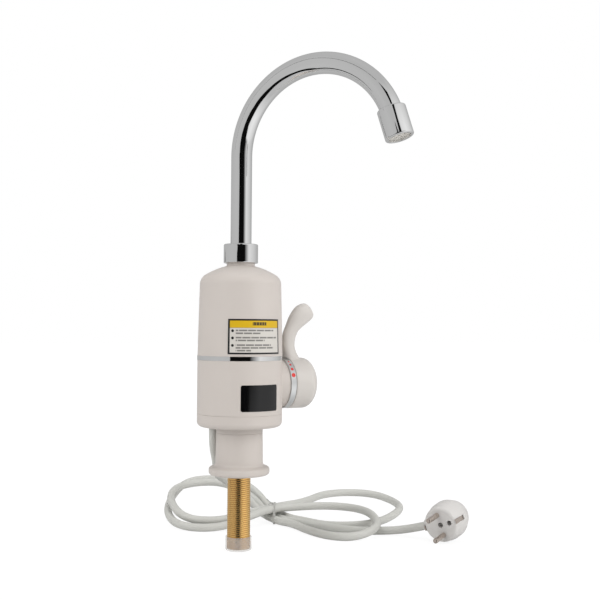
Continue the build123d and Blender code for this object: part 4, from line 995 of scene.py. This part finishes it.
@dataclass
class Knob:
    """Knob with its lever grown out of it in one smooth moulding about the valve's axis."""

    axis_height: float = 81.6
    back: float = 46.6
    radius: float = 23.4
    straight: float = 15.9
    dome: float = 12.1
    hollow: float = 9.4
    hollow_radius: float = 18.0
    hub_radius: float = 7.5
    bore: float = 4.05
    bore_depth: float = 17.5
    relief: float = 23.5
    relief_depth: float = 5.4
    hole_place: float = 13.4
    hole_radius: float = 2.05
    fine: float = 0.62
    ease: int = 10
    squareness: float = 0.8

    def sections(self) -> np.ndarray:
        """Lever sections: place from the knob's back, height, half thickness, half width, lean in degrees.

        Returns:
            A row for each section.
        """
        return np.array(
            [
                (5.4, 10.0, 7.8, 10.5, 0.0),
                (5.2, 19.0, 7.8, 9.6, 0.0),
                (4.7, 23.5, 7.6, 8.2, 0.0),
                (3.4, 28.5, 6.5, 6.2, 0.0),
                (2.4, 34.0, 6.1, 5.0, 1.0),
                (2.6, 39.5, 6.2, 4.6, 4.0),
                (3.6, 45.0, 6.5, 4.5, 12.0),
                (6.3, 51.0, 6.7, 4.6, 24.0),
                (11.0, 58.0, 8.4, 5.2, 40.0),
                (16.6, 63.7, 9.5, 5.3, 47.0),
                (21.6, 67.0, 8.8, 4.7, 51.0),
                (24.7, 68.8, 6.2, 3.3, 53.0),
                (25.8, 69.6, 0.1, 0.1, 53.0),
            ]
        )

    @staticmethod
    def eased(rows: np.ndarray, steps: int) -> np.ndarray:
        """Catmull-Rom rows: start + (end - before) t / 2 + (2 before - 5 start + 4 end - after) t^2 / 2 + ...

        Args:
            rows: the rows to pass through.
            steps: rows made from each to the next.

        Returns:
            The finer rows.
        """
        padded = np.vstack([2 * rows[0] - rows[1], rows, 2 * rows[-1] - rows[-2]])
        before, start, end, after = (padded[k : k + len(rows) - 1, None] for k in range(4))
        t = np.linspace(0, 1, steps, endpoint=False)[None, :, None]
        curve = 2 * start + (end - before) * t + (2 * before - 5 * start + 4 * end - after) * t**2
        curve = (curve + (3 * start - 3 * end + after - before) * t**3) / 2
        return np.vstack([curve.reshape(-1, rows.shape[1]), rows[-1:]])

    def lever_grid(self) -> np.ndarray:
        """Tongue: point(s, t) = middle(s) + a |cos t|^p * thick(s) + b |sin t|^p * across, with their signs.

        Returns:
            The grid of points.
        """
        rows = self.eased(self.sections(), 8)
        rows = np.vstack([rows[:1] * np.array([1, 1, 0, 0, 1]), rows])
        lean = np.radians(rows[:, 4])
        middle = np.stack([self.back + rows[:, 0], 0 * lean, self.axis_height + rows[:, 1]], axis=-1)
        thick = np.stack([np.cos(lean), 0 * lean, -np.sin(lean)], axis=-1)
        turn = np.linspace(0, 2 * pi, 64, endpoint=False)
        wave = np.sign(np.cos(turn)) * np.abs(np.cos(turn)) ** self.squareness
        swell = np.sign(np.sin(turn)) * np.abs(np.sin(turn)) ** self.squareness
        grid = middle[:, None] + rows[:, 2, None, None] * wave[None, :, None] * thick[:, None]
        return grid + rows[:, 3, None, None] * swell[None, :, None] * np.array([0, 1.0, 0])

    def knob_grid(self) -> np.ndarray:
        """Turned body: flat back, straight side and dome, r = R cos t, h = straight + dome * sin t.

        Returns:
            The grid of points.
        """
        arc = np.radians(np.linspace(0, 90, 24))
        side = np.stack([self.radius * np.cos(arc), self.straight + self.dome * np.sin(arc)], axis=-1)
        profile = np.vstack([[(0.0, 0.0), (self.radius * 0.5, 0.0), (self.radius, 0.0)], side])
        base = np.array([self.back, 0.0, self.axis_height])
        return lathe(profile, base, np.array([1.0, 0.0, 0.0]), 128)

    @staticmethod
    def rod(radius: float, start: float, end: float) -> list:
        """Profile of a plain rod between two heights."""
        return [(0.0, start), (radius, start), (radius, end), (0.0, end)]

    def cutter(self, name: str, profile: list, base: tuple, axis: tuple) -> bpy.types.Object:
        """Turned tool that a Boolean takes away."""
        grid = lathe(np.array(profile, float), np.array(base), np.array(axis), 64)
        return grid_piece(name, grid, False, True)

    def build(self) -> None:
        """Join knob and tongue, even them out in one skin, cut hollow, bore and hole, and dress it."""
        rough = grid_piece("knob_rough", self.knob_grid(), False, True)
        tongue = grid_piece("tongue_rough", self.lever_grid(), False, True)
        low, high = self.hub_radius, self.hollow_radius
        base = (self.back, 0.0, self.axis_height)
        under = (self.back + self.hole_place, 0.0, self.axis_height - 1.0)
        lever_way, up = (1.0, 0.0, 0.0), (0.0, 0.0, 1.0)
        ring = [(low, -0.2), (low, self.hollow), (high, self.hollow), (high, -0.2), (low, -0.2)]
        tools = [
            self.cutter("hollow_tool", ring, base, lever_way),
            self.cutter("bore_tool", self.rod(self.bore, -1.0, self.bore_depth), base, lever_way),
            self.cutter("hole_tool", self.rod(self.hole_radius, 1.0, -self.radius - 1), under, up),
            self.cutter("relief_tool", self.rod(self.relief, -self.relief_depth, 0.0), base, lever_way),
        ]
        join = rough.modifiers.new("join", "BOOLEAN")
        join.operation = "UNION"
        join.object = tongue
        skin = rough.modifiers.new("skin", "REMESH")
        skin.mode = "VOXEL"
        skin.voxel_size = self.fine * MM
        ease = rough.modifiers.new("ease", "SMOOTH")
        ease.factor = 0.5
        ease.iterations = self.ease
        piece = carved("knob_and_lever", rough, [], tools)
        bpy.data.objects.remove(tongue)
        dress(piece, "knob_plastic")
        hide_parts("knob_lever")
        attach(piece, "lever")


@dataclass
class Plug:
    """Earthed plug lying on the table on its nub, with its cord's sleeve."""

    right: float = 156.7
    ahead: float = 101.0
    height: float = 18.1
    yaw: float = -151.0
    pitch: float = -7.8
    roll: float = 18.0
    radius: float = 18.2
    depth: float = 34.0
    pin_pitch: float = 19.0
    pin_hole: float = 2.15
    screw_hole: float = 2.6
    earth_hole: float = 2.4
    clip_width: float = 4.4
    clip_depth: float = 2.0
    clip_length: float = 15.1
    past_side: float = 3.0
    boot: float = 4.0
    boot_depth: float = 14.0
    nub: float = 2.3
    nub_depth: float = 20.0
    nub_way: tuple[float, float, float] = (0.951, -0.309, 0.0)

    def place(self, points: np.ndarray) -> np.ndarray:
        """Move points from the plug's own frame, z out of its face and x along its pins, to the row's.

        Args:
            points: rows of points in the plug's own frame.

        Returns:
            The points in the row's frame.
        """
        yaw, pitch, roll = radians(self.yaw), radians(self.pitch), radians(self.roll)
        out = np.array([cos(pitch) * cos(yaw), cos(pitch) * sin(yaw), sin(pitch)])
        side = np.array([-sin(yaw), cos(yaw), 0.0])
        rise = np.array([-sin(pitch) * cos(yaw), -sin(pitch) * sin(yaw), cos(pitch)])
        line = side * sin(roll) - rise * cos(roll)
        face = Cord().to_row(np.array([[self.right, -self.ahead, self.height]]))[0]
        return face + points @ np.array([line, np.cross(out, line), out])

    def turned(
        self, name: str, profile: list, base: tuple = (0, 0, 0), axis: tuple = (0, 0, 1), steps: int = 48
    ) -> bpy.types.Object:
        """Turned piece in the plug's own frame.

        Args:
            name: the piece's name.
            profile: rows of radius and height.
            base: where height is zero.
            axis: the turning axis.
            steps: divisions round the axis.

        Returns:
            The piece.
        """
        grid = lathe(np.array(profile, float), np.array(base, float), np.array(axis, float), steps)
        return grid_piece(name, self.place(grid), False, True)

    def slot(self, side: int) -> bpy.types.Object:
        """Block that cuts one clip's slot, from two poles and four corners.

        Args:
            side: 1 or -1, one for each clip.

        Returns:
            The cutting block.
        """
        half, deep, edge = self.clip_width / 2, self.clip_depth, self.past_side
        corners = np.array([(-half, -deep), (half, -deep), (half, edge), (-half, edge)]) * np.array([1, side])
        rows = []
        for height, share in ((-self.clip_length, 0.0), (-self.clip_length, 1.0), (1.0, 1.0), (1.0, 0.0)):
            across = corners * share + np.array([0, side * self.radius])
            rows.append(np.hstack([across, np.full((4, 1), height)]))
        grid = np.array(rows)
        return grid_piece(f"slot_tool_{side}", self.place(grid), False, True)

    def body(self) -> bpy.types.Object:
        """Turned body that swells from a soft-edged face to its grip, with holes, slots, sleeve and nub.

        Returns:
            The finished body.
        """
        face, grip, back = self.radius - 2.0, self.radius, self.radius - 4.2
        side = [(face, 0), (face + 0.9, -6), (grip, -12), (grip, -21.5), (back, -self.depth)]
        profile = rounded([(0, 0), *side, (0, -self.depth)], [2.8, 14.0, 14.0, 8.0, 3.5], 10)
        rough = self.turned("plug_rough", profile[::-1].tolist(), steps=120)
        top, low = self.radius + self.boot, self.radius + self.nub
        corners = [(0, 10), (7.6, 10), (7.2, self.radius - 0.4), (5.6, top), (0, top)]
        sleeve = rounded(corners, [0.5, 1.5, 0.8])
        nub = rounded([(0, 15), (2.6, 15), (2.4, low), (0, low)], [0.3, 1.0])
        joined = [
            self.turned("sleeve", sleeve.tolist(), (0, 0, -self.boot_depth), (0, -1, 0)),
            self.turned("nub", nub.tolist(), (0, 0, -self.nub_depth), self.nub_way),
        ]
        tools = [self.slot(1), self.slot(-1)]
        half = self.pin_pitch / 2
        holes = ((-half, 0, self.pin_hole, 6.1), (half, 0, self.pin_hole, 6.1))
        holes += ((0, 0, self.screw_hole, 7.0), (0, half, self.earth_hole, 15.0))
        for number, (x, y, r, deep) in enumerate(holes):
            profile = [(0, -deep), (r, -deep), (r, 1), (0, 1)]
            tools.append(self.turned(f"hole_tool_{number}", profile, (x, y, 0)))
        return carved("plug_moulding", rough, joined, tools)

    def build(self) -> None:
        """Make the plug's body and dress it."""
        piece = self.body()
        dress(piece, "plug_plastic")
        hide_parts("plug_body")
        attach(piece, "tap")


# Camera, floor and light

# Reflected surround: greys by heading off the camera's line, at the horizon and above or below it
SURROUND_TONE = 0.5
SURROUND_HEADINGS = (-180, -120, -60, -21, 30, 42, 58, 100, 140, 180)
SURROUND_TONES = (0.46, 0.52, 0.56, 0.54, 0.02, 0.35, 0.84, 0.68, 0.48, 0.42)
OPEN_HEADINGS = (-180, -120, -60, -21, 10, 24, 58, 100, 140, 180)
OPEN_TONES = (0.46, 0.52, 0.56, 0.52, 0.56, 0.84, 0.92, 0.76, 0.50, 0.44)
# Seams in the surround: heading, lift and half width in degrees
DARK_SEAM = (
    (6.0, 50.0, 9.0),
    (6.0, 30.0, 6.0),
    (6.0, 19.0, 9.0),
    (6.0, 10.0, 25.0),
    (5.0, 5.0, 27.0),
    (-3.0, -3.0, 21.0),
    (0.0, -12.0, 18.0),
    (-3.0, -24.0, 21.0),
    (-8.0, -36.0, 17.0),
    (-40.0, -52.0, 9.0),
    (-91.0, -58.0, 5.0),
    (-94.0, -38.0, 4.0),
    (-96.0, -17.0, 2.5),
    (-97.0, -8.0, 1.0),
)
EDGE_SEAM = ((-130.0, -1.0, 2.5), (-127.0, 1.5, 3.0), (-124.0, 3.5, 3.0))
THIN_SEAM = (
    (-76.0, 12.0, 0.5),
    (-73.0, 21.0, 0.9),
    (-65.0, 37.0, 1.1),
    (-34.0, 47.0, 1.1),
    (-10.0, 50.0, 0.8),
)
SEAMS = (("dark_seam", DARK_SEAM, 0.004), ("thin_seam", THIN_SEAM, 0.06), ("edge_seam", EDGE_SEAM, 0.05))

# Lamps: place right, behind and up in millimetres, size in metres and power in watts
LAMPS = (
    ("left_softbox", (-1300, -900, 900), 1.3, 14),
    ("right_softbox", (1400, -700, 800), 1.2, 17),
    ("top_softbox", (0, 200, 1800), 1.5, 12),
)


@dataclass
class Studio:
    """White studio with the photograph's camera."""

    lens: float = 60.0
    right: float = 54.1
    back: float = 909.1
    height: float = 135.2
    pitch: float = 1.45
    roll: float = 0.4
    reach: float = 5000.0
    middle_height: float = 200.0
    floor_reach: float = 9000.0
    floor_tone: float = 0.86
    floor_glow: float = 1.06
    least_glow: float = 0.86
    glow_from: float = 0.35
    glow_full: float = 0.9
    world_light: float = 0.46

    def camera(self) -> None:
        """Put the camera where the photograph was taken from."""
        data = bpy.data.cameras.new("photo_camera")
        data.lens = self.lens
        data.sensor_width = 36.0
        data.sensor_fit = "HORIZONTAL"
        data.clip_start = 0.01
        data.clip_end = 50.0
        camera = bpy.data.objects.new("photo_camera", data)
        bpy.context.scene.collection.objects.link(camera)
        right = Vector(plan(1, 0))
        ahead = Vector(plan(0, cos(radians(self.pitch)))) + Vector((0, 0, sin(radians(self.pitch))))
        up = right.cross(ahead)
        turn = radians(self.roll)
        right, up = right * cos(turn) + up * sin(turn), up * cos(turn) - right * sin(turn)
        place = Vector(plan(self.right, -self.back)) + Vector((0, 0, self.height))
        matrix = Matrix((right, up, -ahead)).transposed().to_4x4()
        matrix.translation = place * MM
        camera.matrix_world = matrix
        bpy.context.scene.camera = camera

    def world(self) -> None:
        """White surround that lights the object softly."""
        world = bpy.data.worlds.new("white_room")
        world.use_nodes = True
        nodes = Nodes(world.node_tree)
        seen = nodes.node("ShaderNodeBackground", {}, {0: (1.0, 1.0, 1.0), 1: 1.0})
        unseen = nodes.node("ShaderNodeBackground", {}, {0: (1.0, 0.99, 0.98), 1: self.world_light})
        nodes.node("ShaderNodeOutputWorld", {}, {0: nodes.seen_or_not(seen, unseen)})
        bpy.context.scene.world = world

    def floor(self) -> None:
        """White floor under the cord that keeps a faint shadow and turns to plain white further out."""
        ends = (-self.floor_reach, self.floor_reach)
        corners = np.array([[[x, y, TABLE_Z] for x in ends] for y in ends])
        floor = grid_piece("floor", corners, False, False)
        material = empty_material("white_floor")
        nodes = Nodes(material.node_tree)
        matt = nodes.node("ShaderNodeBsdfDiffuse", {}, {0: (self.floor_tone,) * 3})
        glow = nodes.node("ShaderNodeEmission", {}, {1: self.floor_glow})
        away = nodes.node("ShaderNodeVectorMath", {"operation": "LENGTH"}, {0: nodes.place()}, "Value")
        limits = {"From Min": self.glow_from, "From Max": self.glow_full}
        limits |= {"To Min": self.least_glow, "To Max": 1.0}
        share = nodes.node("ShaderNodeMapRange", {}, {"Value": away, **limits}, "Result")
        blend = nodes.node("ShaderNodeMixShader", {}, {0: share, 1: matt, 2: glow})
        nodes.node("ShaderNodeOutputMaterial", {}, {0: nodes.seen_or_not(blend, matt)})
        floor.data.materials.append(material)
        floor.visible_glossy = False

    def lamp(self, name: str, place: tuple, size: float, power: float) -> None:
        """One soft square lamp that points at the body.

        Args:
            name: the lamp's name.
            place: millimetres to the camera's right, behind and up.
            size: its side in metres.
            power: watts.
        """
        right, behind, height = place
        data = bpy.data.lights.new(name, "AREA")
        data.energy = power
        data.size = size
        lamp = bpy.data.objects.new(name, data)
        bpy.context.scene.collection.objects.link(lamp)
        lamp.location = Vector(plan(right, behind)) * MM + Vector((0, 0, height * MM))
        lamp.rotation_euler = (Vector((0, 0, 0.12)) - lamp.location).to_track_quat("-Z", "Y").to_euler()
        lamp.visible_camera = False
        lamp.visible_glossy = False

    @staticmethod
    def sky_way(heading: np.ndarray, lift: np.ndarray) -> np.ndarray:
        """Unit directions.

        Args:
            heading: degrees off the line to the camera, towards its right.
            lift: degrees over the horizon.

        Returns:
            The directions, on a last axis of 3.
        """
        turn, rise = np.radians(heading), np.radians(lift)
        side = np.array([plan(1, 0), plan(0, 1)])
        flat = np.stack([np.sin(turn), -np.cos(turn)], axis=-1) @ side
        return flat * np.cos(rise)[..., None] + np.sin(rise)[..., None] * UP

    def mirror_only(self, piece: bpy.types.Object, brightness: np.ndarray) -> None:
        """Let only mirrors see a piece that glows.

        Args:
            piece: the piece.
            brightness: the grey at each of its points.
        """
        tone = piece.data.attributes.new("tone", "FLOAT", "POINT")
        tone.data.foreach_set("value", brightness.ravel().astype(np.float32))
        material = empty_material(piece.name)
        nodes = Nodes(material.node_tree)
        glow = nodes.node("ShaderNodeEmission", {}, {0: nodes.attribute("tone")})
        nodes.node("ShaderNodeOutputMaterial", {}, {0: glow})
        piece.data.materials.append(material)
        for flag in ("visible_camera", "visible_diffuse", "visible_shadow", "visible_transmission"):
            setattr(piece, flag, False)

    def dome(self) -> None:
        """Grey surround for the chrome: point(h, e) = centre + R * way(h, e), toned by heading and lift."""
        headings, lifts = np.linspace(-180, 180, 241)[:-1], np.linspace(-89.5, 89.5, 91)
        heading, lift = np.meshgrid(headings, lifts, indexing="ij")
        level = np.interp(lift, (-8, -4, 12, 18), (0, 1, 1, 0))
        sides = level * np.interp(heading, SURROUND_HEADINGS, SURROUND_TONES)
        sides += (1 - level) * np.interp(heading, OPEN_HEADINGS, OPEN_TONES)
        share = np.clip((62 - np.abs(lift)) / 30, 0, 1)
        tone = SURROUND_TONE + (sides - SURROUND_TONE) * share
        tone = tone * np.interp(lift, [-90, -35, 0, 40, 90], [1.15, 1.05, 1.0, 1.0, 1.1])
        points = self.middle_height * UP + self.reach * self.sky_way(heading, lift)
        self.mirror_only(grid_piece("reflected_surround", points, True, False), tone)

    def ribbon(self, name: str, places: tuple, tone: float) -> None:
        """Dark seam in the surround.

        Args:
            name: the seam's name.
            places: its heading, lift and half width in degrees, from one end to the other.
            tone: its grey.
        """
        rows = np.array(places, float)
        run = np.linspace(0, len(rows) - 1, 14 * len(rows))
        heading, lift, half = (np.interp(run, np.arange(len(rows)), rows[:, k]) for k in range(3))
        ways = self.sky_way(heading, lift)
        onward = np.gradient(ways, axis=0)
        across = np.cross(ways, onward)
        across /= np.linalg.norm(across, axis=1)[:, None]
        swing = np.radians(half[:, None] * np.linspace(-1, 1, 9)[None])
        sweep = np.cos(swing)[..., None] * ways[:, None] + np.sin(swing)[..., None] * across[:, None]
        piece = grid_piece(name, self.middle_height * UP + 0.97 * self.reach * sweep, False, False)
        self.mirror_only(piece, np.full(sweep.shape[:2], tone))

    def build(self) -> None:
        """Camera, surround, floor, lamps and cards."""
        bpy.context.scene.view_settings.view_transform = "Standard"
        self.camera()
        self.world()
        self.floor()
        for name, place, size, power in LAMPS:
            self.lamp(name, place, size, power)
        self.dome()
        for name, places, tone in SEAMS:
            self.ribbon(name, places, tone)


def main() -> None:
    """Build the studio and every piece."""
    logging.basicConfig(level=logging.INFO, format="%(name)s: %(message)s")
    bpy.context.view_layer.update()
    Studio().build()
    Plug().build()
    Cord().build()
    for entry in frame["record"]["subparts"]:
        node = frame["nodes"][entry["node"]]
        dress(node, entry["material_slot"])
    dress(frame["nodes"]["plug_earth_clips"], "plated_pin")
    Knob().build()
    Spout().build()
    Inlet().build()


if __name__ == "__main__":
    main()
